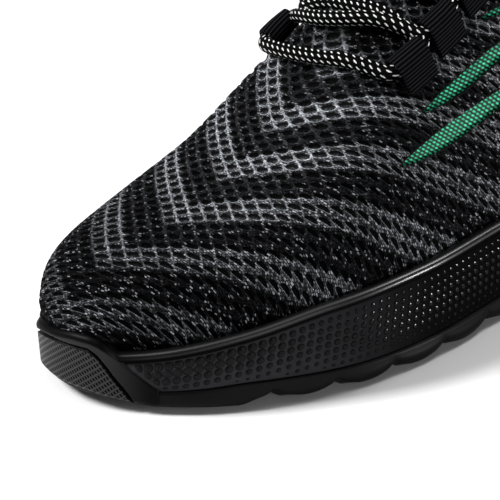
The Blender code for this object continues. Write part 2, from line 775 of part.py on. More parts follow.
def build_laces():
    """Straight bar at the toe end, then a joined crossing between each two rows of loops."""
    ends = []
    for side in (MEDIAL, LATERAL):
        t, q = eyelet_at(EYELETS[0], side)
        _, _, _, _, along_length, _ = upper_frame(t, side, q)
        ends.append((t + LOOP_FRONT / along_length, q, side))
    tube("lace_bar", lace_path(ends[0], ends[1], 0.4, LACE_BOW))
    for low, high in zip(EYELETS, EYELETS[1:]):
        strands = []
        for side, lift in ((MEDIAL, LACE_CROSS), (LATERAL, 0.0)):
            ends = []
            for eyelet, hand, turn in ((low, side, -1), (high, -side, 1)):
                t, q = eyelet_at(eyelet, hand)
                _, _, _, _, along_length, down_length = upper_frame(t, hand, q)
                turned = t + turn * LOOP_TURN / along_length
                ends.append((turned, q + LOOP_CLEAR / down_length, hand))
            strands.append(lace_path(ends[0], ends[1], lift, 0.0))
        name = "lace_crossing_" + str(low.row)
        under = tube(name, strands[1])
        over = tube("cutter_" + name, strands[0])
        over.hide_render = True
        over.display_type = "WIRE"
        join = under.modifiers.new("join", "BOOLEAN")
        join.operation = "UNION"
        join.solver = "EXACT"
        join.object = over


def main():
    """Build every piece of the shoe."""
    clear_scene()
    build_outsole()
    build_midsole()
    build_lip()
    build_bumper()
    build_upper()
    build_underlay()
    build_insole()
    for eyelet in EYELETS:
        for side in (LATERAL, MEDIAL):
            build_loop(eyelet, side)
    build_laces()


main()
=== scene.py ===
"""Looks of a left safety shoe: striped knit upper, studded cup sole, rubber toe bumper, round laces.

Stations run from the heel in mm, as in the part's source. Every piece is laid over the last that the
tables describe, +X to the toe and +Y to the outer side, and then moved into the row frame in metres.
"""
import logging
import math
from collections.abc import Callable, Sequence
from dataclasses import dataclass
from enum import Enum
from functools import cached_property
from typing import Any, NamedTuple

import bpy
import numpy as np
from mathutils import Matrix, Vector


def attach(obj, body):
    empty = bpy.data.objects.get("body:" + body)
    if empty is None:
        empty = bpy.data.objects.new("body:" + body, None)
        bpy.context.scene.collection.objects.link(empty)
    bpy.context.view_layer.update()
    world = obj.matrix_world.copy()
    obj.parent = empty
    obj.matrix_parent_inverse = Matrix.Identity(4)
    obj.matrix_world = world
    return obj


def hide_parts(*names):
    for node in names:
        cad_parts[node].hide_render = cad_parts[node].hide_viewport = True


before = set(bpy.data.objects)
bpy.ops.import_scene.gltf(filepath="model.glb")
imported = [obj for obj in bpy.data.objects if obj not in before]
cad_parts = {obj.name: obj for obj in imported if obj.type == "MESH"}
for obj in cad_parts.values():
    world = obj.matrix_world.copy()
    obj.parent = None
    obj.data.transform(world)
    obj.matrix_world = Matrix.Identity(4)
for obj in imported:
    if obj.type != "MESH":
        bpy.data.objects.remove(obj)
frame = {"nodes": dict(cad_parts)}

LOG = logging.getLogger("safety_shoe")
MM = 0.001
ORIGIN = np.array([150.35, 0.95, 0.0])
Array = np.ndarray
Pair = tuple[float, float]
Triple = tuple[float, float, float]
Piece = bpy.types.Object
Socket = bpy.types.NodeSocket
Material = bpy.types.Material


class Side(Enum):
    """Side of the left shoe, with the sign of its outward direction."""

    LATERAL = 1
    MEDIAL = -1


class Outline(NamedTuple):
    """Half widths of the sole at a station."""

    x: float
    lateral: float
    medial: float


class Height(NamedTuple):
    """A height at a station."""

    x: float
    z: float


class Top(NamedTuple):
    """Top line of the upper and the form of its section, at a fraction from heel to toe."""

    t: float
    x: float
    lateral: float
    medial: float
    z: float
    power: float
    wall: float
    bulge: float


class Slit(NamedTuple):
    """Middle line and width of a slit in the outer side."""

    name: str
    front_t: float
    front_q: float
    mid_t: float
    mid_q: float
    rear_t: float
    rear_q: float
    width: float


class Eyelet(NamedTuple):
    """Places of one row of lace loops on both sides."""

    row: int
    lateral_t: float
    lateral_q: float
    medial_t: float
    medial_q: float


class Edge(NamedTuple):
    """Top edge and groove of the toe bumper at a distance from the toe tip, outer side above zero."""

    s: float
    crest: float
    groove: float


class Thread(NamedTuple):
    """A wale or course of the knit: its number, and where the photograph shows it, in picture points."""

    count: float
    seen: tuple[Pair, ...]


class Lamp(NamedTuple):
    """A square soft light: its place, what it points at and its side length in metres, and its watts."""

    name: str
    place: Triple
    aim: Triple
    size: float
    power: float


def smooth_step(low: float, high: float, value: Array) -> Array:
    """Soft step.

    Args:
        low: Where the step starts.
        high: Where it ends.
        value: The values to step.

    Returns:
        0 before the step and 1 after it.
    """
    share = np.clip((np.asarray(value, float) - low) / (high - low), 0.0, 1.0)
    return share * share * (3 - 2 * share)


def along_table(rows: Sequence[NamedTuple], column: str, value: Array) -> Array:
    """Smooth value of a table's column, its first column being the station.

    Args:
        rows: The table.
        column: Name of the column to read.
        value: Stations to read it at.

    Returns:
        The column's values there, with no overshoot between rows.
    """
    x = np.array([row[0] for row in rows], float)
    y = np.array([getattr(row, column) for row in rows], float)
    h = np.diff(x)
    d = np.diff(y) / h
    m = np.zeros(len(x))
    for i in range(1, len(x) - 1):
        if d[i - 1] * d[i] > 0:
            w1 = 2 * h[i] + h[i - 1]
            w2 = h[i] + 2 * h[i - 1]
            m[i] = (w1 + w2) / (w1 / d[i - 1] + w2 / d[i])
    m[0] = d[0]
    m[-1] = d[-1]
    v = np.clip(np.asarray(value, float), x[0], x[-1])
    i = np.clip(np.searchsorted(x, v) - 1, 0, len(h) - 1)
    s = (v - x[i]) / h[i]
    low = (2 * s**3 - 3 * s**2 + 1) * y[i] + (s**3 - 2 * s**2 + s) * h[i] * m[i]
    return low + (3 * s**2 - 2 * s**3) * y[i + 1] + (s**3 - s**2) * h[i] * m[i + 1]


def curve_through(points: Array, closed: bool, steps: int) -> Array:
    """Dense smooth curve through points.

    Args:
        points: Points to pass, one a row.
        closed: Whether the curve comes back to its start.
        steps: Points for each span.

    Returns:
        Points along the curve, ends included.
    """
    p = np.asarray(points, float)
    if closed:
        loop = np.vstack([p[-1], p, p[0], p[1]])
    else:
        loop = np.vstack([2 * p[0] - p[1], p, 2 * p[-1] - p[-2]])
    spans = []
    for p0, p1, p2, p3 in zip(loop, loop[1:], loop[2:], loop[3:]):
        k = np.cumsum([0.0] + [np.linalg.norm(b - a) ** 0.5 for a, b in ((p0, p1), (p1, p2), (p2, p3))])
        t = np.linspace(k[1], k[2], steps, endpoint=False)[:, None]
        a1 = (p0 * (k[1] - t) + p1 * (t - k[0])) / (k[1] - k[0])
        a2 = (p1 * (k[2] - t) + p2 * (t - k[1])) / (k[2] - k[1])
        a3 = (p2 * (k[3] - t) + p3 * (t - k[2])) / (k[3] - k[2])
        b1 = (a1 * (k[2] - t) + a2 * (t - k[0])) / (k[2] - k[0])
        b2 = (a2 * (k[3] - t) + a3 * (t - k[1])) / (k[3] - k[1])
        spans.append((b1 * (k[2] - t) + b2 * (t - k[1])) / (k[2] - k[1]))
    return np.vstack(spans + [p[:1] if closed else p[-1:]])


def lengths(points: Array) -> Array:
    """Distance of every point from the first, along the path."""
    return np.concatenate([[0.0], np.cumsum(np.linalg.norm(np.diff(points, axis=0), axis=1))])


def even_spacing(points: Array, step: float) -> Array:
    """Points at even steps along a path.

    Args:
        points: The path.
        step: Wanted distance between points.

    Returns:
        The path with even steps, ends kept.
    """
    length = lengths(points)
    even = np.linspace(0.0, length[-1], max(2, round(length[-1] / step) + 1))
    return np.stack([np.interp(even, length, points[:, k]) for k in range(points.shape[1])], 1)


def over_grid(rows: Array, columns: Array) -> list[Array]:
    """Both numbers at every place of a grid, rows first."""
    return np.meshgrid(rows, columns, indexing="ij")


def unit(vectors: Array) -> Array:
    """Vectors at length one."""
    return vectors / np.maximum(np.linalg.norm(vectors, axis=-1), 1e-12)[..., None]


@dataclass(frozen=True)
class Last:
    """Form that all pieces are laid on: the sole's outline, its heights and the upper's top line."""

    heel_tip: Pair = (0.0, -1.0)
    toe_tip: Pair = (300.0, -12.0)
    upper_inset: float = 5.0
    lip_height: float = 3.4
    collar_t: float = 0.44
    outline: tuple[Outline, ...] = (
        Outline(10.0, 22.0, -22.0),
        Outline(35.0, 36.0, -34.0),
        Outline(75.0, 38.5, -33.5),
        Outline(120.0, 40.0, -35.0),
        Outline(165.0, 48.0, -43.0),
        Outline(200.0, 53.5, -50.0),
        Outline(230.0, 51.5, -51.8),
        Outline(258.0, 41.0, -49.5),
        Outline(282.0, 24.0, -40.0),
        Outline(296.0, 5.0, -28.0),
    )
    ground_rows: tuple[Height, ...] = (
        Height(0, 5.0), Height(12, 1.6), Height(26, 0.0), Height(95, 0.0), Height(125, 3.0),
        Height(155, 0.0), Height(215, 0.0), Height(250, 1.0), Height(280, 3.2), Height(300, 5.5),
    )
    parting_rows: tuple[Height, ...] = (
        Height(0, 8.0), Height(250, 8.0), Height(262, 7.6), Height(275, 5.8), Height(289, 4.2),
        Height(300, 4.0),
    )
    lip_rows: tuple[Height, ...] = (
        Height(0, 38.0), Height(60, 36.0), Height(120, 33.0), Height(165, 33.2), Height(200, 33.0),
        Height(235, 31.5), Height(262, 26.5), Height(285, 22.0), Height(300, 19.5),
    )
    knit_rows: tuple[Height, ...] = (
        Height(0, 36.5), Height(60, 34.5), Height(120, 31.5), Height(165, 31.7), Height(200, 31.5),
        Height(235, 30.0), Height(262, 26.0), Height(280, 24.5), Height(300, 24.0),
    )
    footbed_rows: tuple[Height, ...] = (
        Height(0, 27.0), Height(60, 25.0), Height(120, 19.0), Height(165, 15.0), Height(200, 13.5),
        Height(250, 12.5), Height(300, 13.0),
    )
    top_rows: tuple[Top, ...] = (
        Top(0.00, 6, 0, 0, 93, 4.0, 1.0, 0.0),
        Top(0.06, 10, 12, -12, 90, 4.0, 1.0, 0.0),
        Top(0.12, 21, 23, -22, 84, 4.0, 1.0, 0.0),
        Top(0.20, 46, 29.5, -28, 77, 4.0, 1.0, 0.0),
        Top(0.28, 73, 30, -28, 82, 3.6, 0.9, 0.0),
        Top(0.35, 95, 25, -26, 99, 3.0, 0.6, 0.0),
        Top(0.40, 110, 14, -18, 116, 2.5, 0.25, 0.0),
        Top(0.44, 121, -3, -3, 124, 2.2, 0.0, 0.0),
        Top(0.55, 155, -3, -3, 107.6, 2.05, 0.0, 0.0),
        Top(0.65, 187, -4, -4, 91.8, 2.0, 0.0, 0.0),
        Top(0.75, 216, -5, -5, 67.4, 2.1, 0.0, 0.3),
        Top(0.85, 240, -6, -6, 55.9, 2.3, 0.0, 1.9),
        Top(0.93, 254, -7, -7, 52.3, 2.6, 0.0, 2.5),
        Top(1.00, 261, -8, -8, 51.6, 2.6, 0.0, 2.5),
    )

    @cached_property
    def sides(self) -> dict[Side, tuple[Array, Array, Array, float]]:
        """Fractions, plan points, inward normals and length of each side, heel tip to toe tip."""
        lateral = [self.heel_tip] + [(row.x, row.lateral) for row in self.outline] + [self.toe_tip]
        medial = [(row.x, row.medial) for row in reversed(self.outline)]
        curve = curve_through(np.array(lateral + medial), True, 40)
        tip = (len(self.outline) + 1) * 40
        tangent = unit(np.gradient(np.vstack([curve[-2], curve, curve[1]]), axis=0)[1:-1])
        inward = np.stack([tangent[:, 1], -tangent[:, 0]], 1)
        found = {}
        halves = (
            (Side.LATERAL, curve[: tip + 1], inward[: tip + 1]),
            (Side.MEDIAL, curve[tip:][::-1], inward[tip:][::-1]),
        )
        for side, points, normals in halves:
            length = lengths(points)
            found[side] = (length / length[-1], points, normals, float(length[-1]))
        return found

    def plan(self, t: Array, side: Side) -> tuple[Array, Array]:
        """Point and inward normal of the outline.

        Args:
            t: Fractions from heel to toe.
            side: Side of the shoe.

        Returns:
            Plan points and unit inward normals.
        """
        s, points, normals, _ = self.sides[side]
        p = np.stack([np.interp(t, s, points[:, k]) for k in (0, 1)], -1)
        n = np.stack([np.interp(t, s, normals[:, k]) for k in (0, 1)], -1)
        return p, unit(n)

    def rim(self, t: Array, side: Side, inset: Array, z: Array) -> Array:
        """Points inset from the outline.

        Args:
            t: Fractions from heel to toe.
            side: Side of the shoe.
            inset: Distances inward.
            z: Heights.

        Returns:
            Points in mm.
        """
        t, inset, z = np.broadcast_arrays(np.asarray(t, float), inset, z)
        p, n = self.plan(t, side)
        return np.concatenate([p + n * inset[..., None], z[..., None]], -1)

    def level(self, rows: Sequence[Height], t: Array, side: Side) -> Array:
        """Height from a table of stations at fractions of a side."""
        return along_table(rows, "z", self.plan(np.asarray(t, float), side)[0][..., 0])

    def ground(self, t: Array, side: Side) -> Array:
        """Height of the sole's bottom."""
        return self.level(self.ground_rows, t, side)

    def parting(self, t: Array, side: Side) -> Array:
        """Height of the line where outsole and sidewall meet."""
        return self.ground(t, side) + self.level(self.parting_rows, t, side)

    def lip(self, t: Array, side: Side) -> Array:
        """Height of the top of the lip bead."""
        return self.level(self.lip_rows, t, side)

    def footbed(self, t: Array, side: Side) -> Array:
        """Height of the cup's floor."""
        return self.level(self.footbed_rows, t, side)

    def upper(self, t: Array, side: Side, q: Array) -> Array:
        """Outer face of the upper.

        Args:
            t: Fractions from heel to toe.
            side: Side of the shoe.
            q: 0 at the sole to 1 at the ridge or the collar.

        Returns:
            Points in mm.
        """
        t, q = np.broadcast_arrays(np.asarray(t, float), np.asarray(q, float))
        plan, inward = self.plan(t, side)
        base = plan + inward * self.upper_inset
        z_base = along_table(self.knit_rows, "z", plan[..., 0])
        top_y = along_table(self.top_rows, side.name.lower(), t)
        top = np.stack([along_table(self.top_rows, "x", t), top_y], -1)
        z_top = along_table(self.top_rows, "z", t)
        power = along_table(self.top_rows, "power", t)
        wall = along_table(self.top_rows, "wall", t)
        angle = q * np.pi / 2
        across = 1 - np.cos(angle) ** (2 / power)
        rise = np.sin(angle) ** (2 / power)
        across = across * (1 - wall) + wall * (1.15 * q**2 - 0.15 * np.sin(np.pi * q))
        rise = rise * (1 - wall) + wall * q
        belly = along_table(self.top_rows, "bulge", t) * np.sin(np.pi * np.clip(rise, 0.0, 1.0))
        flat = base + (top - base) * across[..., None] - inward * belly[..., None]
        return np.concatenate([flat, (z_base + (z_top - z_base) * rise)[..., None]], -1)

    def skin(self, t: Array, side: Side, q: Array) -> tuple[Array, Array, Array, Array, Array]:
        """The upper's face with its directions.

        Args:
            t: Fractions from heel to toe.
            side: Side of the shoe.
            q: 0 at the sole to 1 at the ridge or the collar.

        Returns:
            Points, unit tangents down the side, unit outward normals, and mm per unit of t and of q.
        """
        t, q = np.broadcast_arrays(np.asarray(t, float), np.asarray(q, float))
        back, ahead = np.clip(t - 0.004, 0.0, 1.0), np.clip(t + 0.004, 0.0, 1.0)
        low, high = np.clip(q - 0.004, 0.0, 1.0), np.clip(q + 0.004, 0.0, 1.0)
        along = (self.upper(ahead, side, q) - self.upper(back, side, q)) / (ahead - back)[..., None]
        down = (self.upper(t, side, low) - self.upper(t, side, high)) / (high - low)[..., None]
        normal = unit(np.cross(along, down) * side.value)
        scale_t, scale_q = np.linalg.norm(along, axis=-1), np.linalg.norm(down, axis=-1)
        return self.upper(t, side, q), unit(down), normal, scale_t, scale_q

    def over(self, t: Array, side: Side, q: Array, height: Array) -> Array:
        """Points standing off the upper's face by a height along its normal."""
        p, _, normal, _, _ = self.skin(t, side, q)
        return p + normal * np.asarray(height, float)[..., None]


@dataclass(frozen=True)
class View:
    """The photograph's camera: where it looks and from where, in mm, and its framing in picture points."""

    target: Triple = (225.0, 5.0, 35.0)
    distance: float = 1500.0
    azimuth: float = 54.4286
    elevation: float = 26.0
    roll: float = -4.9527
    focal: float = 4687.25
    middle: Pair = (271.956, 238.865)
    frame: float = 500.0

    @cached_property
    def axes(self) -> tuple[Vector, Vector, Vector]:
        """Directions to the picture's right, to its top and back to the camera."""
        psi, elev, roll = (math.radians(a) for a in (self.azimuth, self.elevation, self.roll))
        back = Vector((math.cos(elev) * math.cos(psi), math.cos(elev) * math.sin(psi), math.sin(elev)))
        right = (-back).cross(Vector((0.0, 0.0, 1.0))).normalized()
        up = right.cross(-back)
        side = right * math.cos(roll) + up * math.sin(roll)
        top = up * math.cos(roll) - right * math.sin(roll)
        return side, top, back

    @cached_property
    def eye(self) -> Array:
        """Place of the camera in mm from the heel."""
        return np.array(self.target) + np.array(self.axes[2]) * self.distance

    def picture(self, points: Array) -> Array:
        """Picture points of places.

        Args:
            points: Places in mm from the heel.

        Returns:
            Picture points, to the right and down.
        """
        side, top, back = (np.array(axis) for axis in self.axes)
        away = points - self.eye
        depth = -(away @ back)
        right = self.middle[0] + self.focal * (away @ side) / depth
        down = self.middle[1] - self.focal * (away @ top) / depth
        return np.stack([right, down], -1)


LAST = Last()
VIEW = View()


class Bench:
    """Blender steps that the pieces share."""

    @staticmethod
    def grid(name: str, points: Array) -> Piece:
        """Lay a primitive grid over rows of points.

        Args:
            name: Name of the piece.
            points: Rows by columns by three, in mm from the heel.

        Returns:
            The new object, its place in its mesh.
        """
        rows, columns = points.shape[:2]
        bpy.ops.object.select_all(action="DESELECT")
        bpy.ops.mesh.primitive_grid_add(x_subdivisions=columns - 1, y_subdivisions=rows - 1, size=1.0)
        item = bpy.context.active_object
        item.name = name
        item.data.name = name
        placed = (points.reshape(-1, 3) - ORIGIN) * MM
        item.data.vertices.foreach_set("co", placed.astype(np.float32).ravel())
        item.data.update()
        bpy.ops.object.shade_smooth()
        return item

    @staticmethod
    def mark(item: Piece, name: str, values: Array) -> None:
        """Keep a number for every vertex of a piece."""
        kept = item.data.attributes.new(name, "FLOAT", "POINT")
        kept.data.foreach_set("value", np.asarray(values, np.float32).ravel())

    @staticmethod
    def read(item: Piece, name: str) -> Array:
        """The numbers kept for every vertex of a piece.

        Args:
            item: The piece.
            name: Name they are kept under.

        Returns:
            One number a vertex.
        """
        values = np.empty(len(item.data.vertices), np.float32)
        item.data.attributes[name].data.foreach_get("value", values)
        return values

    @staticmethod
    def chart(item: Piece, u: Array, v: Array) -> None:
        """Give a piece its pattern coordinates.

        Args:
            item: The piece.
            u: First coordinate of every vertex.
            v: Second coordinate of every vertex.
        """
        layer = item.data.uv_layers.active
        corners = np.empty(len(item.data.loops), np.int32)
        item.data.loops.foreach_get("vertex_index", corners)
        both = np.stack([np.ravel(u), np.ravel(v)], 1)[corners]
        layer.data.foreach_set("uv", both.astype(np.float32).ravel())

    @staticmethod
    def drop_faces(item: Piece, chosen: Array) -> None:
        """Delete faces of a piece.

        Args:
            item: The piece.
            chosen: True for each face that goes.
        """
        Bench.activate(item)
        bpy.ops.object.mode_set(mode="EDIT")
        bpy.ops.mesh.select_all(action="DESELECT")
        bpy.ops.mesh.select_mode(type="FACE")
        bpy.ops.object.mode_set(mode="OBJECT")
        item.data.polygons.foreach_set("select", np.asarray(chosen, bool).ravel())
        bpy.ops.object.mode_set(mode="EDIT")
        bpy.ops.mesh.delete(type="FACE")
        bpy.ops.object.mode_set(mode="OBJECT")

    @staticmethod
    def activate(item: Piece) -> None:
        """Select one object alone."""
        bpy.ops.object.select_all(action="DESELECT")
        item.select_set(True)
        bpy.context.view_layer.objects.active = item

    @staticmethod
    def weld(item: Piece, distance: float = 0.01, fill: bool = False) -> None:
        """Merge a piece's doubled vertices.

        Args:
            item: The piece.
            distance: Farthest that doubles are apart, in mm.
            fill: Whether open rims are closed by a face each.
        """
        Bench.activate(item)
        bpy.ops.object.mode_set(mode="EDIT")
        bpy.ops.mesh.select_all(action="SELECT")
        bpy.ops.mesh.remove_doubles(threshold=distance * MM)
        if fill:
            bpy.ops.mesh.fill_holes(sides=0)
        bpy.ops.object.mode_set(mode="OBJECT")

    @staticmethod
    def join(name: str, items: Sequence[Piece]) -> Piece:
        """Join pieces into one named piece.

        Args:
            name: Name of the joined piece.
            items: The pieces, the first of which takes in the rest.

        Returns:
            The joined piece.
        """
        bpy.ops.object.select_all(action="DESELECT")
        for item in items:
            item.select_set(True)
        bpy.context.view_layer.objects.active = items[0]
        bpy.ops.object.join()
        items[0].name = name
        items[0].data.name = name
        return items[0]

    @staticmethod
    def face(item: Piece, outward: Callable[[Array], Array] | Triple) -> None:
        """Turn a piece's faces to its outer side.

        Args:
            item: The piece.
            outward: A rough outward direction, or what gives one for each face's middle in metres.
        """
        count = len(item.data.polygons)
        normals = np.empty(count * 3, np.float32)
        middles = np.empty(count * 3, np.float32)
        item.data.polygons.foreach_get("normal", normals)
        item.data.polygons.foreach_get("center", middles)
        ways = outward(middles.reshape(-1, 3)) if callable(outward) else np.array(outward)
        if (normals.reshape(-1, 3) * ways).sum() < 0:
            item.data.flip_normals()

    @staticmethod
    def from_path(path: Array) -> Callable[[Array], Array]:
        """Outward direction of a tube round a path.

        Args:
            path: Points along the tube's middle in mm.

        Returns:
            A function that gives the direction for each face's middle, in metres.
        """
        placed = (path - ORIGIN) * MM
        batch = 4000

        def outward(middles: Array) -> Array:
            """Directions away from the nearest points of the path."""
            found = np.empty_like(middles)
            for first in range(0, len(middles), batch):
                part = middles[first : first + batch]
                gaps = ((part[:, None] - placed[None]) ** 2).sum(-1)
                found[first : first + batch] = part - placed[gaps.argmin(1)]
            return found

        return outward

    @staticmethod
    def tube(
        name: str, path: Array, up: Array, radii: Pair, sides: int,
        along: Array, girth: float, closed: bool = True,
    ) -> Piece:
        """Round tube along a path.

        Args:
            name: Name of the piece.
            path: Points along its middle in mm.
            up: Rough upward direction at every path point.
            radii: Radii across and up.
            sides: Faces round it.
            along: Pattern coordinate of every ring.
            girth: Pattern coordinate once round.
            closed: Whether the path comes back to its start.

        Returns:
            The tube.
        """
        angles = np.linspace(0.0, math.tau, sides, endpoint=False)
        profile = np.stack([np.cos(angles), np.sin(angles)], 1) * np.array(radii)
        item = Bench.grid(name, ring_sweep(path, profile, up, closed))
        Bench.chart(item, *over_grid(along, np.linspace(0.0, girth, sides + 1)))
        Bench.weld(item, fill=not closed)
        Bench.face(item, Bench.from_path(path))
        return item

    @staticmethod
    def raise_by(item: Piece, heights: Array) -> None:
        """Move every vertex along its normal.

        Args:
            item: The piece.
            heights: Distances in mm.
        """
        count = len(item.data.vertices)
        places = np.empty(count * 3, np.float32)
        normals = np.empty(count * 3, np.float32)
        item.data.vertices.foreach_get("co", places)
        item.data.vertices.foreach_get("normal", normals)
        places += normals * np.repeat(np.asarray(heights, np.float32) * MM, 3)
        item.data.vertices.foreach_set("co", places)
        item.data.update()

    @staticmethod
    def apply(item: Piece, kind: str, **settings: Any) -> None:
        """Add a modifier to a piece and apply it.

        Args:
            item: The piece.
            kind: Type of the modifier.
            settings: Its properties.
        """
        Bench.activate(item)
        added = item.modifiers.new(kind.lower(), kind)
        for key, value in settings.items():
            setattr(added, key, value)
        bpy.ops.object.modifier_apply(modifier=added.name)

    @staticmethod
    def finish(item: Piece, finish: "Finish", slot: str, *nodes: str) -> None:
        """Dress a piece, hang it under the root body and hide the CAD nodes that it stands for.

        Args:
            item: The piece.
            finish: Its finish.
            slot: The record's material slot that the finish stands for; not used.
            nodes: CAD nodes that the piece stands for.
        """
        item.data.materials.clear()
        item.data.materials.append(finish.material)
        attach(item, "root")
        if nodes:
            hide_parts(*nodes)
        LOG.info("%s: %d faces", item.name, len(item.data.polygons))


def ring_sweep(path: Array, profile: Array, up: Array, closed: bool = False) -> Array:
    """Sections of a profile along a path.

    Args:
        path: Points along the middle.
        profile: Closed outline of the section, across and up, first point not repeated.
        up: Rough upward direction at every path point.
        closed: Whether the path comes back to its start.

    Returns:
        Rows by columns by three, with the first column and, where closed, the first row repeated at the end.
    """
    if closed:
        ahead = unit(np.roll(path, -1, 0) - np.roll(path, 1, 0))
    else:
        ahead = unit(np.gradient(path, axis=0))
    across = unit(np.cross(ahead, up))
    rise = np.cross(across, ahead)
    ring = np.vstack([profile, profile[:1]])
    rows = path[:, None] + across[:, None] * ring[None, :, :1] + rise[:, None] * ring[None, :, 1:]
    return np.concatenate([rows, rows[:1]]) if closed else rows


class Value:
    """A number that varies over a surface, held by a node's output."""

    def __init__(self, graph: "Graph", socket: Socket) -> None:
        """Hold an output socket of a graph."""
        self.graph = graph
        self.socket = socket

    def math(self, operation: str, *others: Any) -> "Value":
        """Result of a Math node on this value and others."""
        node = self.graph.node("ShaderNodeMath", {"operation": operation}, dict(enumerate((self, *others))))
        return Value(self.graph, node.outputs[0])

    def reflected(self, operation: str, other: Any) -> "Value":
        """Result of a Math node with this value second."""
        node = self.graph.node("ShaderNodeMath", {"operation": operation}, {0: other, 1: self})
        return Value(self.graph, node.outputs[0])

    def __add__(self, other: Any) -> "Value":
        """Sum."""
        return self.math("ADD", other)

    __radd__ = __add__

    def __sub__(self, other: Any) -> "Value":
        """Difference."""
        return self.math("SUBTRACT", other)

    def __rsub__(self, other: Any) -> "Value":
        """Difference, reflected."""
        return self.reflected("SUBTRACT", other)

    def __mul__(self, other: Any) -> "Value":
        """Product."""
        return self.math("MULTIPLY", other)

    __rmul__ = __mul__

    def __truediv__(self, other: Any) -> "Value":
        """Quotient."""
        return self.math("DIVIDE", other)

    def __rtruediv__(self, other: Any) -> "Value":
        """Quotient, reflected."""
        return self.reflected("DIVIDE", other)

    def fract(self) -> "Value":
        """Part after the decimal point."""
        return self.math("FRACT")

    def floor(self) -> "Value":
        """Whole part."""
        return self.math("FLOOR")

    def wave(self) -> "Value":
        """Sine of one turn a unit, from 0 to 1."""
        return (self * math.tau).math("SINE") * 0.5 + 0.5

    def low(self, other: Any) -> "Value":
        """Smaller of two values."""
        return self.math("MINIMUM", other)

    def high(self, other: Any) -> "Value":
        """Larger of two values."""
        return self.math("MAXIMUM", other)

    def size(self) -> "Value":
        """Value without its sign."""
        return self.math("ABSOLUTE")

    def step(self, low: float, high: float) -> "Value":
        """Soft step between two levels.

        Args:
            low: Level where the result is 0.
            high: Level where it is 1, which may be the lower one.

        Returns:
            The step.
        """
        inputs = {0: self, 1: min(low, high), 2: max(low, high), 3: float(low > high), 4: float(low < high)}
        node = self.graph.node("ShaderNodeMapRange", {"interpolation_type": "SMOOTHSTEP"}, inputs)
        return Value(self.graph, node.outputs[0])


class Graph:
    """Nodes of one material, ending in a Principled shader."""

    def __init__(self, name: str) -> None:
        """Start an empty material."""
        self.material = bpy.data.materials.new(name)
        self.material.use_nodes = True
        self.tree = self.material.node_tree
        self.shader = self.tree.nodes["Principled BSDF"]

    def node(self, kind: str, settings: dict[str, Any], inputs: dict[Any, Any]) -> bpy.types.Node:
        """Add a node.

        Args:
            kind: Type of the node.
            settings: Properties, set first.
            inputs: Values or links of its sockets, by name or number.

        Returns:
            The node.
        """
        made = self.tree.nodes.new(kind)
        for key, value in settings.items():
            setattr(made, key, value)
        for key, value in inputs.items():
            self.feed(made.inputs[key], value)
        return made

    def feed(self, socket: Socket, value: Any) -> None:
        """Link or set a socket.

        Args:
            socket: The input.
            value: A Value or an output to link, or a plain number or colour.
        """
        source = value.socket if isinstance(value, Value) else value
        if isinstance(source, Socket):
            self.tree.links.new(source, socket)
        elif isinstance(source, tuple) and len(source) == 3 and socket.type == "RGBA":
            socket.default_value = (*source, 1.0)
        else:
            socket.default_value = source

    def chart(self) -> tuple[Value, Value, Socket]:
        """Pattern coordinates of the piece: both numbers, and the vector."""
        place = self.node("ShaderNodeTexCoord", {}, {}).outputs["UV"]
        parts = self.node("ShaderNodeSeparateXYZ", {}, {0: place})
        return Value(self, parts.outputs[0]), Value(self, parts.outputs[1]), place

    def kept(self, name: str) -> Value:
        """Number kept for the piece's vertices."""
        node = self.node("ShaderNodeAttribute", {"attribute_name": name}, {})
        return Value(self, node.outputs["Fac"])

    def object_place(self) -> Socket:
        """Place in the row frame."""
        return self.node("ShaderNodeTexCoord", {}, {}).outputs["Object"]

    def noise(self, place: Socket, scale: float, detail: float = 2.0) -> Value:
        """Cloudy noise from 0 to 1."""
        inputs = {"Vector": place, "Scale": scale, "Detail": detail}
        return Value(self, self.node("ShaderNodeTexNoise", {}, inputs).outputs[0])

    def forward(self, place: Socket) -> Value:
        """Distance to the toe of a place, in metres from the middle."""
        return Value(self, self.node("ShaderNodeSeparateXYZ", {}, {0: place}).outputs[0])

    def dice(self, column: Value, row: Value) -> Value:
        """Random level of a cell.

        Args:
            column: Whole number of the cell's column.
            row: Whole number of its row.

        Returns:
            A level from 0 to 1.
        """
        cell = self.node("ShaderNodeCombineXYZ", {}, {0: column, 1: row}).outputs[0]
        noise = self.node("ShaderNodeTexWhiteNoise", {"noise_dimensions": "2D"}, {"Vector": cell})
        return Value(self, noise.outputs[0])

    def blend(self, share: Any, first: Any, second: Any) -> Socket:
        """Colour between two.

        Args:
            share: 0 for the first and 1 for the second.
            first: Colour or link.
            second: Colour or link.

        Returns:
            The mixed colour.
        """
        node = self.node("ShaderNodeMix", {"data_type": "RGBA"}, {0: share, 6: first, 7: second})
        return node.outputs[2]

    def shade(self, color: Any, level: Value) -> Socket:
        """A colour times a level."""
        node = self.node("ShaderNodeVectorMath", {"operation": "SCALE"}, {0: color, "Scale": level})
        return node.outputs[0]

    def bump(self, height: Value, distance: float, strength: float = 1.0) -> Socket:
        """Normal bent by a height.

        Args:
            height: Height from 0 to 1.
            distance: What 1 stands for, in mm.
            strength: How strongly it bends the normal.

        Returns:
            The normal.
        """
        inputs = {"Height": height, "Distance": distance * MM, "Strength": strength}
        return self.node("ShaderNodeBump", {}, inputs).outputs[0]

    def surface(self, **sockets: Any) -> None:
        """Set the shader's sockets.

        Args:
            sockets: Values or links by the socket's name, with _ for a space.
        """
        names = {item.name.lower().replace(" ", "_"): item for item in self.shader.inputs}
        for key, value in sockets.items():
            self.feed(names[key], value)


@dataclass(frozen=True)
class Finish:
    """A named finish."""

    name: str

    @cached_property
    def graph(self) -> Graph:
        """The material's graph."""
        return Graph(self.name)

    @cached_property
    def material(self) -> Material:
        """The finish's material, made once."""
        self.paint()
        return self.graph.material

    def paint(self) -> None:
        """Set the shader's sockets."""
        raise NotImplementedError


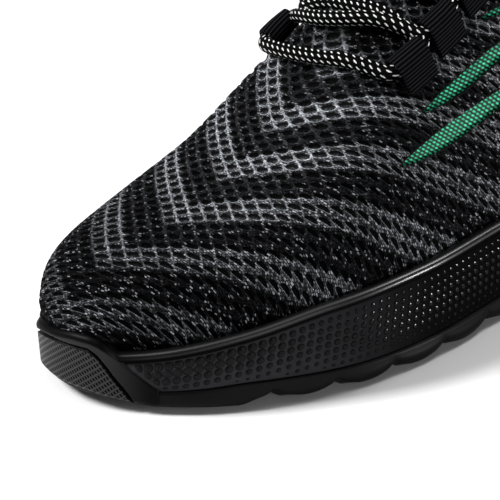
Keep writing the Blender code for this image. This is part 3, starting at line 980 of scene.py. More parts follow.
@dataclass(frozen=True)
class KnitFinish(Finish):
    """Open knit with grey chevron stripes on black, read from the lattice of wales and courses, with painted
    glints, painted highlights and shade in its holes, and painted shading over the toe, the close-knit parts
    and the throat.
    """

    black: Triple = (0.0180, 0.0185, 0.0206)
    grey: Triple = (0.270, 0.281, 0.303)
    # Colour of the painted glints on shiny yarn.
    spark: Triple = (0.46, 0.47, 0.50)
    stripe_cells: float = 5.0
    grey_cells: float = 2.3
    stitches: float = 3.3

    def paint(self) -> None:
        """Set the sockets for the knit's looks."""
        g = self.graph
        wale, course, place = g.chart()
        openness = g.kept("open")
        fuzz = g.noise(place, 11.0, 3.0)
        spot = g.object_place()
        speck = g.noise(spot, 2300.0, 2.0).step(0.34, 0.68)
        worn = g.noise(place, 2.7, 3.0).step(0.3, 0.7)
        band = ((wale.low(course) + (fuzz - 0.5) * 0.9) / self.stripe_cells).fract()
        edge = self.grey_cells / self.stripe_cells
        stripe = band.step(edge + 0.02, edge - 0.02) * band.step(0.0, 0.03)
        u, v = wale.fract() - 0.5, course.fract() - 0.5
        closed = 1 - openness
        a = u * (openness * 0.95 + 1.69) - v * closed * 0.9
        b = u * closed * 2.35 + v * (4.4 - openness * 1.75) + (a * a - 0.3) * closed * 0.5
        reach = a * a + b * b
        hole = (reach * (1.3 - stripe * 0.3)).step(1.2, 0.8)
        # The holes are painted near black, partly the black backing showing through and partly painted
        # shade, darker at their upper side and a little lighter at their lower side, as the light falls into
        # them.
        inner = openness * b.step(0.35, -0.5)
        # Painted shade: the knit's colour is darkened where its cells are drawn close, towards the toe, and
        # in the throat behind the lace bar, standing in for how the light falls there.
        painted_shading = (1 - closed * 0.48) * (1 - g.forward(spot).step(0.08, 0.125) * 0.42)
        painted_shading = painted_shading * (1 - g.kept("tongue") * 0.8)
        sway = g.noise(place, 3.3, 2.0) - 0.5
        line = (wale + course) * (self.stitches * 1.15) + sway * 1.1
        dash = (wale - course) * (self.stitches * 0.8) + (line.floor() * 0.5).fract() + sway * 1.5
        p, q = line.fract() - 0.5, dash.fract() - 0.5
        bead = ((1 - p * p * 4) * (1 - q * q * 4)).step(0.05, 0.75)
        dice = g.dice(line.floor(), dash.floor())
        column = ((wale + 0.5).fract() - 0.5).size().step(0.1, 0.03)
        # Painted highlight: a crescent on each hole's lower rim is painted lighter, as if lit; it also
        # stands a little proud in the bump.
        rim = reach.step(0.9, 1.15) * reach.step(1.9, 1.3) * b.step(0.5, -0.5)
        thread = bead * (dice.step(0.1, 0.95) * 1.2 + 0.1) * (speck * 0.65 + 0.35) * (1 - openness * 0.25)
        level = thread + column * (openness * 0.5 + 0.1) * (speck * 0.7 + 0.35) + rim * (speck * 0.5 + 0.5)
        # Painted glints: random stitches painted near-white, standing in for light glinting off shiny yarn;
        # they are kept out of the holes and out of the painted shading.
        spark = bead.step(0.75, 1.0) * dice.step(0.6, 1.0).math("POWER", 3.0)
        painted_glint = spark * (0.5 - openness * 0.15) * (1 - hole)
        body = g.blend(stripe, self.black, self.grey)
        lit = g.shade(body, level * (worn * 0.5 + 0.7) + (1 - stripe) * speck.step(0.4, 0.95) * 0.5 + 0.02)
        hole_backing_and_shade = g.shade(body, inner * (speck.step(0.5, 1.0) * 0.4 + 0.03) + 0.01)
        colour = g.blend(hole, lit, hole_backing_and_shade)
        colour = g.blend(painted_glint * 0.7, g.shade(colour, painted_shading), self.spark)
        height = bead * 0.45 + column * openness * 0.4 + rim * 0.3 - hole * 1.2
        g.surface(
            base_color=colour,
            roughness=0.7 - painted_glint * 0.3,
            normal=g.bump(height, 0.35, 0.9),
            specular_ior_level=0.015,
        )


@dataclass(frozen=True)
class RubberFinish(Finish):
    """Black moulded rubber."""

    color: Triple = (0.0016, 0.0016, 0.0018)
    gloss: float = 0.34
    specular: float = 0.045
    coat: float = 0.06

    def paint(self) -> None:
        """Set the sockets for the rubber's looks."""
        g = self.graph
        place = g.object_place()
        forward = g.forward(place)
        cloud = g.noise(place, 120.0, 3.0)
        grain = g.noise(place, 2200.0, 2.0)
        g.surface(
            base_color=g.blend(cloud, self.color, tuple(c * 1.35 for c in self.color)),
            roughness=self.gloss + cloud * 0.08 + grain * 0.05,
            normal=g.bump(grain * 0.6 + cloud * 0.4, 0.03, 0.6),
            specular_ior_level=self.specular,
            coat_weight=forward.step(0.05, 0.09) * self.coat,
            coat_roughness=0.34,
        )


@dataclass(frozen=True)
class BeadFinish(Finish):
    """Black rubber, glossy along the sides and dull round the toe."""

    color: Triple = (0.0012, 0.0012, 0.0013)

    def paint(self) -> None:
        """Set the sockets for the bead's looks."""
        g = self.graph
        shine = g.kept("shine")
        place = g.object_place()
        cloud = g.noise(place, 90.0, 3.0)
        grain = g.noise(place, 2200.0, 2.0)
        g.surface(
            base_color=g.shade(self.color, cloud * 0.6 + 0.7),
            roughness=0.7 - shine * 0.3 + grain * 0.08,
            normal=g.bump(grain * 0.6 + cloud * 0.4, 0.03, 0.6),
            specular_ior_level=0.02,
            coat_weight=shine * (cloud * 0.3 + 0.7),
            coat_roughness=0.3,
        )


@dataclass(frozen=True)
class StuddedFinish(Finish):
    """Satin rubber with glossier domes, the domes painted dark as shade and the wall painted lighter towards
    the toe.
    """

    color: Triple = (0.0065, 0.0065, 0.0070)
    pitch: float = 3.1
    rows: float = 2.65
    shear: float = 0.18

    def paint(self) -> None:
        """Set the sockets for the sidewall's looks."""
        g = self.graph
        turn, level, _ = g.chart()
        radius = g.kept("stud")
        row = (level + 0.5).floor()
        x = ((turn + row * self.shear + 0.5).fract() - 0.5) * self.pitch
        y = (level - row) * self.rows
        reach = (x * x + y * y) / (radius * radius + 0.01)
        dome = reach.step(1.1, 0.85)
        place = g.object_place()
        forward = g.forward(place)
        # Painted shading: the sidewall's colour runs from dark at the rear to several times lighter towards
        # the toe, standing in for how the light falls along it.
        painted_shading = forward.step(0.04, 0.12) * 2.9 + 0.4
        front = forward.step(0.05, 0.10)
        cloud = g.noise(place, 140.0, 3.0)
        grain = g.noise(place, 2200.0, 2.0)
        # Painted shade on the domes: their colour is darkened, less so near the toe, standing in for the
        # dark reflections on their glossy faces; the cloud is the rubber's own mottling.
        level = (cloud * 0.5 + 0.75) * (1 - dome * (0.93 - front * 0.25)) * painted_shading
        height = (1 - reach).high(0.0) * (front * 0.3 + 0.12) + grain * 0.02 + cloud * 0.01
        g.surface(
            base_color=g.shade(self.color, level),
            roughness=0.36 + grain * 0.08 - dome * 0.1,
            normal=g.bump(height, 1.0, 1.0),
            specular_ior_level=0.0,
            coat_weight=reach.step(0.66, 0.46) * (0.34 - front * 0.24),
            coat_roughness=0.1,
        )


@dataclass(frozen=True)
class BumperFinish(Finish):
    """Satin rubber band round a panel of slanted ribs with fine teeth between them, with painted shade on
    the band's top and groove and a painted sheen on the rib tops.
    """

    color: Triple = (0.0035, 0.0035, 0.0038)
    rib_pitch: float = 1.75
    tooth_pitch: float = 1.2

    def paint(self) -> None:
        """Set the sockets for the bumper's looks."""
        g = self.graph
        along, up, _ = g.chart()
        panel = g.kept("panel")
        place = g.object_place()
        grain = g.noise(place, 1800.0, 2.0)
        # The "crown" number marks painted shade on the band's rounded top near the toe and in the groove; it
        # also darkens the band towards its rear ends.
        crown = g.kept("crown")
        rib = ((along * 0.559 - up * 0.829) / self.rib_pitch).wave()
        tooth = ((along * 0.819 + up * 0.574) / self.tooth_pitch).wave()
        ribbed = rib.step(0.5, 0.9).high(tooth.step(0.3, 0.75) * 0.85)
        height = panel * ribbed + grain * 0.04
        # Painted light and shade: the crown and groove are painted dark, and the rib tops are painted light
        # as a sheen with dark gaps between.
        level = (1 - panel) * (1 - crown * 0.85) * 0.5 + panel * (ribbed * 3.7 + 0.03)
        g.surface(
            base_color=g.shade(self.color, level),
            roughness=0.5 + grain * 0.06,
            normal=g.bump(height, 0.5, 0.9),
            specular_ior_level=0.03,
            coat_weight=(1 - crown * 0.95) * (1 - panel) * 0.42 + panel * ribbed * 0.5,
            coat_roughness=0.34,
        )


@dataclass(frozen=True)
class MeshFinish(Finish):
    """Bright green woven mesh of small slanted beads, each with a painted highlight."""

    color: Triple = (0.006, 0.39, 0.19)
    # Colour of the painted highlights.
    shine: Triple = (0.09, 0.78, 0.44)
    bead: float = 1.5

    def paint(self) -> None:
        """Set the sockets for the mesh's looks."""
        g = self.graph
        along, up, _ = g.chart()
        slant = (along - up * 0.9) / (self.bead * 0.98)
        column = slant.floor()
        rise = up / self.bead + column * 0.5
        x, y = slant.fract() - 0.5, rise.fract() - 0.5
        reach = (x * 2.7).math("POWER", 2.0) + (y * 1.85).math("POWER", 2.0)
        bead = reach.step(0.95, 0.35)
        dice = g.dice(column, rise.floor())
        # Painted highlight: a light core on each bead, as if the light glints on it.
        shine = reach.step(0.62, 0.05) * (dice * 0.6 + 0.4)
        body = g.shade(self.color, bead * (dice * 0.4 + 0.5) + 0.015)
        g.surface(
            base_color=g.blend(shine * 0.6, body, self.shine),
            roughness=0.5,
            normal=g.bump(bead, 0.3, 0.8),
            specular_ior_level=0.15,
        )


@dataclass(frozen=True)
class TapeFinish(Finish):
    """Black ribbed tape, its rib tops painted light."""

    color: Triple = (0.0010, 0.0010, 0.0012)
    pitch: float = 1.15

    def paint(self) -> None:
        """Set the sockets for the tape's looks."""
        g = self.graph
        along, across, _ = g.chart()
        rib = (across / self.pitch).wave()
        weave = (along / 0.55 + across * 0.2).wave()
        # Painted sheen: the rib tops are painted many times lighter than the gaps, as if they catch the
        # light.
        level = rib.step(0.55, 0.95) * (weave * 0.6 + 0.6) * 11.0 + 0.1
        g.surface(
            base_color=g.shade(self.color, level),
            roughness=0.6,
            normal=g.bump(rib * 0.9 + weave * 0.2, 0.3, 0.8),
            specular_ior_level=0.015,
        )


@dataclass(frozen=True)
class CordFinish(Finish):
    """Round black braid with rows of slanted white flecks."""

    black: Triple = (0.0004, 0.0004, 0.0005)
    white: Triple = (0.66, 0.66, 0.645)
    rows: int = 8
    pitch: float = 2.75
    slant: float = -0.55

    def paint(self) -> None:
        """Set the sockets for the lace's looks."""
        g = self.graph
        along, around, _ = g.chart()
        turn = around * self.rows
        row = turn.floor()
        y = turn.fract() - 0.5
        x = (along / self.pitch + row * 0.5).fract() - 0.5
        tilted = y * 1.96 - x * (self.pitch * self.slant)
        reach = (x * self.pitch / 0.72).math("POWER", 2.0) + (tilted / 0.33).math("POWER", 2.0)
        fleck = reach.step(1.15, 0.75)
        strand = (along / 0.62 + around * 9.0).wave()
        other = (along / 0.62 - around * 9.0).wave()
        braid = strand.high(other)
        body = g.shade(self.black, braid * 1.3 + 0.3)
        light = g.shade(self.white, strand * 0.35 + 0.65)
        g.surface(
            base_color=g.blend(fleck, body, light),
            roughness=0.62,
            normal=g.bump(braid * 0.5 + reach.step(1.6, 0.2) * 0.9, 0.3, 0.9),
            specular_ior_level=0.02,
        )


@dataclass(frozen=True)
class ClothFinish(Finish):
    """Plain close textile of lining, binding and insole."""

    color: Triple = (0.0025, 0.0025, 0.0028)
    pitch: float = 1.1

    def paint(self) -> None:
        """Set the sockets for the textile's looks."""
        g = self.graph
        along, up, _ = g.chart()
        thread = (along / self.pitch).wave() * (up / self.pitch).wave()
        grain = g.noise(g.object_place(), 1800.0, 2.0)
        g.surface(
            base_color=g.shade(self.color, thread * 1.2 + grain * 0.5 + 0.35),
            roughness=0.85,
            normal=g.bump(thread + grain * 0.3, 0.25, 0.7),
            specular_ior_level=0.06,
        )


@dataclass(frozen=True)
class FloorFinish(Finish):
    """Plain white studio floor."""

    color: Triple = (0.58, 0.58, 0.58)

    def paint(self) -> None:
        """Set the sockets for the floor's looks."""
        self.graph.surface(base_color=self.color, roughness=0.9, specular_ior_level=0.05)


KNIT = KnitFinish("shoe_knit")
RUBBER = RubberFinish("shoe_rubber")
GLOSS = BeadFinish("shoe_gloss")
WALL = StuddedFinish("shoe_wall")
BUMPER = BumperFinish("shoe_bumper")
GREEN = MeshFinish("shoe_mesh")
TAPE = TapeFinish("shoe_tape")
CORD = CordFinish("shoe_cord")
CLOTH = ClothFinish("shoe_cloth")
FOAM = ClothFinish("shoe_foam", (0.012, 0.012, 0.013), 1.6)


@dataclass(frozen=True)
class Lattice:
    """Wales and courses of the knit over the upper, counted in cells.

    Both counts are sums of powers of a place. They are worked out here from the threads that can be
    counted in the photograph, and elsewhere the cells stay as square and as even as they can.
    """

    cell: float = 4.4
    middle: Triple = (225.0, 0.0, 60.0)
    reach: Triple = (75.0, 50.0, 40.0)
    degree: int = 3
    evenness: float = 2.0
    rear_evenness: float = 0.35
    rear_t: float = 0.45
    square: float = 1.4
    wale_trust: float = 0.7
    hold: float = 0.002
    flattest: float = 0.02
    rounds: int = 40
    courses: tuple[Thread, ...] = (
        Thread(2.3, ((93, 300), (115, 298), (140, 300), (163, 303), (190, 308), (227, 320))),
        Thread(5.0, ((96, 270), (127, 268), (160, 268), (187, 271), (205, 277), (230, 290), (255, 298),
                     (288, 304), (310, 309))),
        Thread(7.3, ((133, 247.5), (153, 247.5), (180, 248), (198, 250), (230, 250), (252, 249), (277, 251),
                     (300, 260), (320, 268), (347, 278), (372, 286))),
        Thread(10.0, ((160, 227), (185, 226), (230, 225), (255, 225), (285, 225), (310, 227), (328, 234),
                      (357, 238), (380, 247), (397, 257), (412, 265))),
        Thread(12.3, ((192, 203), (230, 202), (268, 195), (308, 192), (330, 198), (357, 200), (380, 203),
                      (397, 210), (418, 220), (438, 228))),
        Thread(15.0, ((217, 181), (230, 178), (263, 173), (300, 170), (350, 172), (400, 180), (440, 194),
                      (470, 204), (500, 215))),
        Thread(17.3, ((237, 157), (300, 151), (400, 152))),
        Thread(20.0, ((262, 136), (300, 126), (330, 119), (400, 120))),
    )
    wales: tuple[Thread, ...] = (
        Thread(5.0, ((93, 216), (94, 240), (96, 265))),
        Thread(7.3, ((126, 208), (125, 225), (126, 244))),
        Thread(10.0, ((156, 170), (157, 203), (160, 227))),
        Thread(12.3, ((183, 160), (185, 190), (190, 203))),
        Thread(15.0, ((207, 125), (208, 145), (217, 181))),
        Thread(17.3, ((228, 110), (232, 140), (237, 157))),
        Thread(20.0, ((256, 100), (262, 134))),
        Thread(7.0, ((127, 258),)), Thread(9.0, ((158, 258),)), Thread(11.0, ((188, 260),)),
        Thread(13.0, ((217, 268),)), Thread(15.0, ((244, 277),)), Thread(12.0, ((189, 215),)),
        Thread(14.0, ((218, 214),)), Thread(16.0, ((247, 213),)), Thread(18.0, ((275, 211),)),
        Thread(20.0, ((303, 211),)), Thread(22.0, ((330, 216),)), Thread(24.0, ((357, 221),)),
        Thread(26.0, ((382, 228),)), Thread(17.0, ((243, 168),)), Thread(19.0, ((269, 163),)),
        Thread(21.4, ((300, 162),)),
    )

    @cached_property
    def powers(self) -> list[tuple[int, int, int]]:
        """Powers of a place's three numbers in every term."""
        sums = range(self.degree + 1)
        return [(i, j, n - i - j) for n in sums for i in range(n + 1) for j in range(n + 1 - i)]

    def terms(self, points: Array) -> Array:
        """Terms of the sums at places.

        Args:
            points: Places on the upper in mm.

        Returns:
            The terms, along a new last axis.
        """
        x, y, z = np.moveaxis((points - np.array(self.middle)) / np.array(self.reach), -1, 0)
        return np.stack([x**i * y**j * z**k for i, j, k in self.powers], -1)

    @cached_property
    def marks(self) -> list[tuple[Array, Array]]:
        """Terms at the places of the upper where threads show, and counts: of wales, then of courses."""
        t, q = over_grid(np.linspace(0.0, 1.0, 401), np.linspace(0.0, 1.0, 121))
        facing = []
        for side in Side:
            points = LAST.upper(t, side, q)
            outward = np.cross(np.gradient(points, axis=1), np.gradient(points, axis=0)) * side.value
            facing.append(points[((VIEW.eye - points) * outward).sum(-1) > 0])
        places = np.concatenate(facing)
        picture = VIEW.picture(places)
        found = []
        for threads in (self.wales, self.courses):
            seen = [(point, thread.count) for thread in threads for point in thread.seen]
            nearest = [np.linalg.norm(picture - np.array(point), axis=1).argmin() for point, _ in seen]
            found.append((self.terms(places[nearest]), np.array([count for _, count in seen])))
        return found

    @cached_property
    def slopes(self) -> tuple[Array, Array, Array]:
        """Slopes of the terms over a cell, along the shoe and square to it, and the patches' weights."""
        step_t, step_q = 1 / 400, 1 / 120
        stations = np.arange(4, 399, 9) * step_t
        t, q = over_grid(stations, np.arange(4, 118, 8) * step_q)
        first, second, weights = [], [], []
        for side in Side:
            points = LAST.upper(t, side, q)
            along = LAST.upper(t + step_t, side, q) - LAST.upper(t - step_t, side, q)
            up = LAST.upper(t, side, q + step_q) - LAST.upper(t, side, q - step_q)
            by_t = self.terms(points + along / 2) - self.terms(points - along / 2)
            by_q = self.terms(points + up / 2) - self.terms(points - up / 2)
            length = (along**2).sum(-1)[..., None]
            lean = (along * up).sum(-1)[..., None] / length
            width = (up**2).sum(-1)[..., None] - lean**2 * length
            first.append(by_t * self.cell / np.sqrt(length))
            second.append((by_q - by_t * lean) * self.cell / np.sqrt(width))
            weights.append(np.where(t > self.rear_t, 1.0, self.rear_evenness))
        count = len(self.powers)
        weight = np.concatenate(weights).ravel()
        weight = weight * self.evenness / math.sqrt(weight.size)
        return np.concatenate(first).reshape(-1, count), np.concatenate(second).reshape(-1, count), weight

    def misfit(self, shares: Array) -> Array:
        """How far the counts are from the threads seen, and from square cells of one size.

        Args:
            shares: Shares of the terms in the wales, then in the courses.

        Returns:
            The misfits.
        """
        along, up, weight = self.slopes
        wale, course = np.split(shares, 2)
        (wale_terms, wale_counts), (course_terms, course_counts) = self.marks
        a, b = along @ wale, up @ wale
        c, d = along @ course, up @ course
        sizes = [np.log(np.maximum(size, self.flattest)) for size in (a * a + b * b, c * c + d * d)]
        return np.concatenate([
            self.wale_trust * (wale_terms @ wale - wale_counts),
            course_terms @ course - course_counts,
            weight * sizes[0],
            weight * sizes[1],
            weight * self.square * (a * c + b * d),
            self.hold * shares,
        ])

    @cached_property
    def shares(self) -> list[Array]:
        """Shares of the terms in wales and in courses, by damped least squares."""
        shares, damping, nudge = np.zeros(2 * len(self.powers)), 0.09, 1e-5
        moves = np.eye(len(shares)) * nudge
        for _ in range(self.rounds):
            off = self.misfit(shares)
            changes = [self.misfit(shares + move) - self.misfit(shares - move) for move in moves]
            slope = np.stack(changes, 1) / (2 * nudge)
            pull = slope.T @ slope + damping * np.eye(len(shares))
            tried = shares - np.linalg.solve(pull, slope.T @ off)
            better = (self.misfit(tried) ** 2).sum() < (off**2).sum()
            shares = tried if better else shares
            damping *= 0.3 if better else 4.0
        return np.split(shares, 2)

    def at(self, points: Array) -> tuple[Array, Array]:
        """Cells counted across and along the knit.

        Args:
            points: Places on the upper in mm.

        Returns:
            Wales and courses.
        """
        terms = self.terms(points)
        wale, course = self.shares
        return terms @ wale, terms @ course

    def behind(self, t: Array, side: Side, q: Array, edge: float) -> tuple[Array, Array]:
        """Cells behind the front piece, carried on at the slope they have at its edge.

        Args:
            t: Fractions from heel to toe.
            side: Side of the shoe.
            q: 0 at the sole to 1 at the collar.
            edge: Fraction where the front piece ends.

        Returns:
            Wales and courses.
        """
        rise = np.linspace(0.0, 1.0, 60)
        column = LAST.upper(edge, side, rise)
        here = self.at(column)
        ahead = self.at(LAST.upper(edge + 0.03, side, rise))
        z = LAST.upper(t, side, q)[..., 2]
        found = []
        for now, then in zip(here, ahead):
            slope = float(np.mean(then[5:40] - now[5:40])) / 0.03
            found.append(np.interp(z, column[:, 2], now) + (t - edge) * slope)
        return found[0], found[1]

    def relief(self, wale: Array, course: Array, openness: Array) -> Array:
        """Height of the knit's face over its middle, in mm.

        Args:
            wale: Cells across.
            course: Cells along.
            openness: 1 where the cells stand open and 0 where they are drawn close.

        Returns:
            Heights, below zero in the cells' openings.
        """
        u, v, closed = wale % 1.0 - 0.5, course % 1.0 - 0.5, 1 - openness
        a = u * (1.69 + 0.95 * openness) - 0.9 * v * closed
        b = 2.35 * u * closed + v * (4.4 - 1.75 * openness) + 0.5 * (a**2 - 0.3) * closed
        hole = 1 - smooth_step(0.5, 1.5, a**2 + b**2)
        return 0.12 - 0.62 * hole


@dataclass
class Upper:
    """Knit bootie: front and rear knit, lining, collar binding, hems and the mesh behind the slits."""

    split_t: float = 0.40
    wall: float = 2.2
    front_rows: int = 306
    front_columns: int = 152
    rear_rows: int = 84
    rear_columns: int = 156
    tuck: float = 4.0
    toe_swell: float = 1.8
    hem_swell: float = 1.4
    tongue_swell: float = 3.8
    toe_swell_q: float = 0.17
    hem_swell_q: float = 0.06
    toe_swell_t: Pair = (0.87, 0.95)
    tongue_t: float = 0.634
    tongue_width: float = 0.018
    tongue_rise_lateral: Pair = (0.78, 0.95)
    tongue_rise_medial: Pair = (0.68, 0.80)
    open_q: Pair = (0.35, 0.75)
    edge_q: float = 0.06
    throat_q: Pair = (0.58, 0.68)
    bar_t: float = 0.668
    bar_slant: float = 0.13
    bar_edge: Pair = (0.004, -0.008)
    hem_radius: float = 0.38
    binding_radius: float = 1.7
    mesh_depth: float = 1.5
    mesh_t: Pair = (0.385, 0.655)
    mesh_thick: float = 0.4
    slit_bend: float = 0.55
    lattice: Lattice = Lattice()
    slits: tuple[Slit, ...] = (
        Slit("lower", 0.634, 0.337, 0.530, 0.300, 0.415, 0.245, 6.8),
        Slit("middle", 0.597, 0.434, 0.500, 0.402, 0.410, 0.360, 5.8),
        Slit("upper", 0.508, 0.531, 0.465, 0.478, 0.415, 0.420, 2.8),
    )

    def build(self) -> None:
        """Build and dress every piece of the upper."""
        front = np.linspace(self.split_t, 1.0, self.front_rows)
        rear = np.linspace(0.0, self.split_t, self.rear_columns)
        self.build_knit("knit_front", *over_grid(front, self.levels(self.front_columns)), "upper")
        self.build_knit("knit_rear", *over_grid(rear, self.levels(self.rear_rows)))
        self.build_lining()
        self.build_binding()
        for slit in self.slits:
            self.build_hem(slit)
        self.build_mesh()

    def levels(self, rows: int) -> Array:
        """Fractions q from the sole to the top, with two rows tucked below the lip."""
        return np.concatenate([[-1.0, -0.5], np.linspace(0.0, 1.0, rows - 2)])

    def sheet(self, t: Array, side: Side, q: Array) -> Array:
        """Points of the upper's face, tucked straight down below the lip.

        Args:
            t: Fractions from heel to toe.
            side: Side of the shoe.
            q: Fractions from sole to top, below zero in the tuck.

        Returns:
            Points in mm.
        """
        points = LAST.upper(t, side, np.maximum(q, 0.0))
        points[..., 2] += np.minimum(q, 0.0) * self.tuck
        swell = self.toe_swell * np.exp(-((q / self.toe_swell_q) ** 2))
        swell = swell + self.hem_swell * np.exp(-((q / self.hem_swell_q) ** 2))
        swell = swell * smooth_step(*self.toe_swell_t, t)
        points[..., :2] -= LAST.plan(t, side)[1] * swell[..., None]
        rise = self.tongue_rise_lateral if side is Side.LATERAL else self.tongue_rise_medial
        hump = np.exp(-(((t - self.tongue_t) / self.tongue_width) ** 2))
        points[..., 2] += self.tongue_swell * hump * smooth_step(*rise, q)
        return points

    def half(self, name: str, side: Side, t: Array, q: Array) -> Piece:
        """One side of a knit piece, with its lattice and relief kept on it.

        Args:
            name: Name of the piece.
            side: Side of the shoe.
            t: Fractions from heel to toe, rows by columns.
            q: Fractions from sole to top, rows by columns.

        Returns:
            The half.
        """
        points = self.sheet(t, side, q)
        if t.max() > self.split_t:
            wale, course = self.lattice.at(points)
        else:
            wale, course = self.lattice.behind(t, side, np.maximum(q, 0.0), self.split_t)
        item = Bench.grid(name, points)
        Bench.chart(item, wale, course)
        openness = smooth_step(*self.open_q, q)
        edge = smooth_step(0.0, self.edge_q, q)
        Bench.mark(item, "open", openness)
        # The "tongue" number marks the throat behind the lace bar, where the knit's colour is painted darker
        # as shade.
        behind_bar = smooth_step(*self.bar_edge, t - self.bar_t + self.bar_slant * (1 - q))
        Bench.mark(item, "tongue", smooth_step(*self.throat_q, q) * behind_bar)
        Bench.mark(item, "relief", self.lattice.relief(wale, course, openness) * edge)
        Bench.face(item, (0.0, side.value, 0.4))
        return item

    def build_knit(self, name: str, t: Array, q: Array, *nodes: str) -> None:
        """A knit piece of two halves, with the slits of the outer side open.

        Args:
            name: Name of the piece.
            t: Fractions from heel to toe, rows by columns.
            q: Fractions from sole to top, rows by columns.
            nodes: CAD nodes that the piece stands for.
        """
        halves = [self.half(name, side, t, q) for side in Side]
        middle_t, middle_q = ((place[1:, 1:] + place[:-1, :-1]) / 2 for place in (t, q))
        Bench.drop_faces(halves[0], self.in_slits(middle_t, middle_q))
        item = Bench.join(name, halves)
        Bench.weld(item)
        Bench.raise_by(item, Bench.read(item, "relief"))
        Bench.finish(item, KNIT, "knit", *nodes)

    def build_lining(self) -> None:
        """Close textile inside the knit, down to the insole."""
        t, q = over_grid(np.linspace(0.0, 1.0, 110), self.levels(34))
        halves = []
        for side in Side:
            p, _, normal, _, _ = LAST.skin(t, side, np.clip(q, 0.0, 1.0))
            flat = np.where(q[..., None] <= 0.0, normal * np.array([1.0, 1.0, 0.0]), normal)
            points = p - unit(flat) * self.wall
            floor = LAST.footbed(t, side) + 0.5
            points[..., 2] += np.minimum(q, 0.0) * (points[..., 2] - floor)
            item = Bench.grid("lining", points)
            Bench.chart(item, t * 345.0, points[..., 2])
            Bench.face(item, (0.0, -side.value, -0.4))
            halves.append(item)
        item = Bench.join("lining", halves)
        Bench.weld(item, 0.4)
        Bench.finish(item, CLOTH, "knit")

    def build_binding(self) -> None:
        """Soft roll round the collar's edge."""
        edge = np.linspace(0.0, LAST.collar_t, 90)
        rows = []
        for side, order in ((Side.LATERAL, edge[::-1]), (Side.MEDIAL, edge[1:-1])):
            p, _, normal, _, _ = LAST.skin(order, side, np.full(order.shape, 1.0))
            level = unit(normal * np.array([1.0, 1.0, 0.0]))
            rows.append(p - level * self.wall / 2)
        path = np.vstack(rows)
        path[0] = path[[1, -1]].mean(0)
        up = np.broadcast_to([0.0, 0.0, 1.0], path.shape)
        radii = (self.binding_radius, self.binding_radius)
        along = np.arange(len(path) + 1) * 1.7
        item = Bench.tube("collar_binding", path, up, radii, 12, along, 10.7)
        Bench.finish(item, CLOTH, "knit")

    def slit_line(self, slit: Slit, share: Array) -> tuple[Array, Array, Array]:
        """Middle line and half width of a slit.

        Args:
            slit: The slit.
            share: 0 at its front tip to 1 at its rear one.

        Returns:
            Fractions t and q, and half widths in mm.
        """
        ends = (0.0, self.slit_bend, 1.0)
        t = np.interp(share, ends, (slit.front_t, slit.mid_t, slit.rear_t))
        q = np.interp(share, ends, (slit.front_q, slit.mid_q, slit.rear_q))
        half = 0.5 * slit.width * np.sin(np.pi * np.clip(share, 0.0, 1.0) ** 0.85) ** 0.8
        return t, q, half

    def in_slits(self, t: Array, q: Array) -> Array:
        """Whether places on the outer side lie in a slit.

        Args:
            t: Fractions from heel to toe.
            q: Fractions from sole to ridge.

        Returns:
            True in a slit.
        """
        found = np.zeros(t.shape, bool)
        _, _, _, _, scale = LAST.skin(t, Side.LATERAL, np.clip(q, 0.0, 1.0))
        for slit in self.slits:
            line = (slit.front_t, slit.mid_t, slit.rear_t)
            share = np.interp(t, line[::-1], (1.0, self.slit_bend, 0.0))
            _, middle, half = self.slit_line(slit, share)
            inside = (t > slit.rear_t) & (t < slit.front_t)
            found |= inside & (np.abs(q - middle) * scale < half)
        return found

    def build_hem(self, slit: Slit) -> None:
        """Black rolled hem round a slit.

        Args:
            slit: The slit.
        """
        share = np.linspace(0.0, 1.0, 60)
        t, q, half = self.slit_line(slit, share)
        p, down, normal, _, _ = LAST.skin(t, Side.LATERAL, q)
        below = p + down * (half + 0.2)[:, None]
        above = p - down * (half + 0.2)[:, None]
        path = np.vstack([below, above[1:-1][::-1]])
        up = np.vstack([normal, normal[1:-1][::-1]])
        path = path - up * 0.25
        radii = (1.1 * self.hem_radius, 0.8 * self.hem_radius)
        along = np.arange(len(path) + 1) * 1.3
        item = Bench.tube("slit_hem_" + slit.name, path, up, radii, 10, along, 5.0)
        Bench.finish(item, CLOTH, "knit")

    def build_mesh(self) -> None:
        """Green mesh sheet behind the slits."""
        rear, front = self.mesh_t
        t, share = over_grid(np.linspace(rear, front, 90), np.linspace(0.0, 1.0, 50))
        forward = (t - rear) / (front - rear)
        q = (0.17 + 0.06 * forward) * (1 - share) + (0.57 - 0.10 * forward) * share
        p, _, normal, _, _ = LAST.skin(t, Side.LATERAL, q)
        item = Bench.grid("slit_mesh", p - normal * self.mesh_depth)
        Bench.chart(item, t * 340.0, q * 105.0)
        Bench.face(item, (0.0, 1.0, 0.4))
        Bench.apply(item, "SOLIDIFY", thickness=self.mesh_thick * MM, offset=-1.0)
        Bench.finish(item, GREEN, "mesh", "slit_underlay")


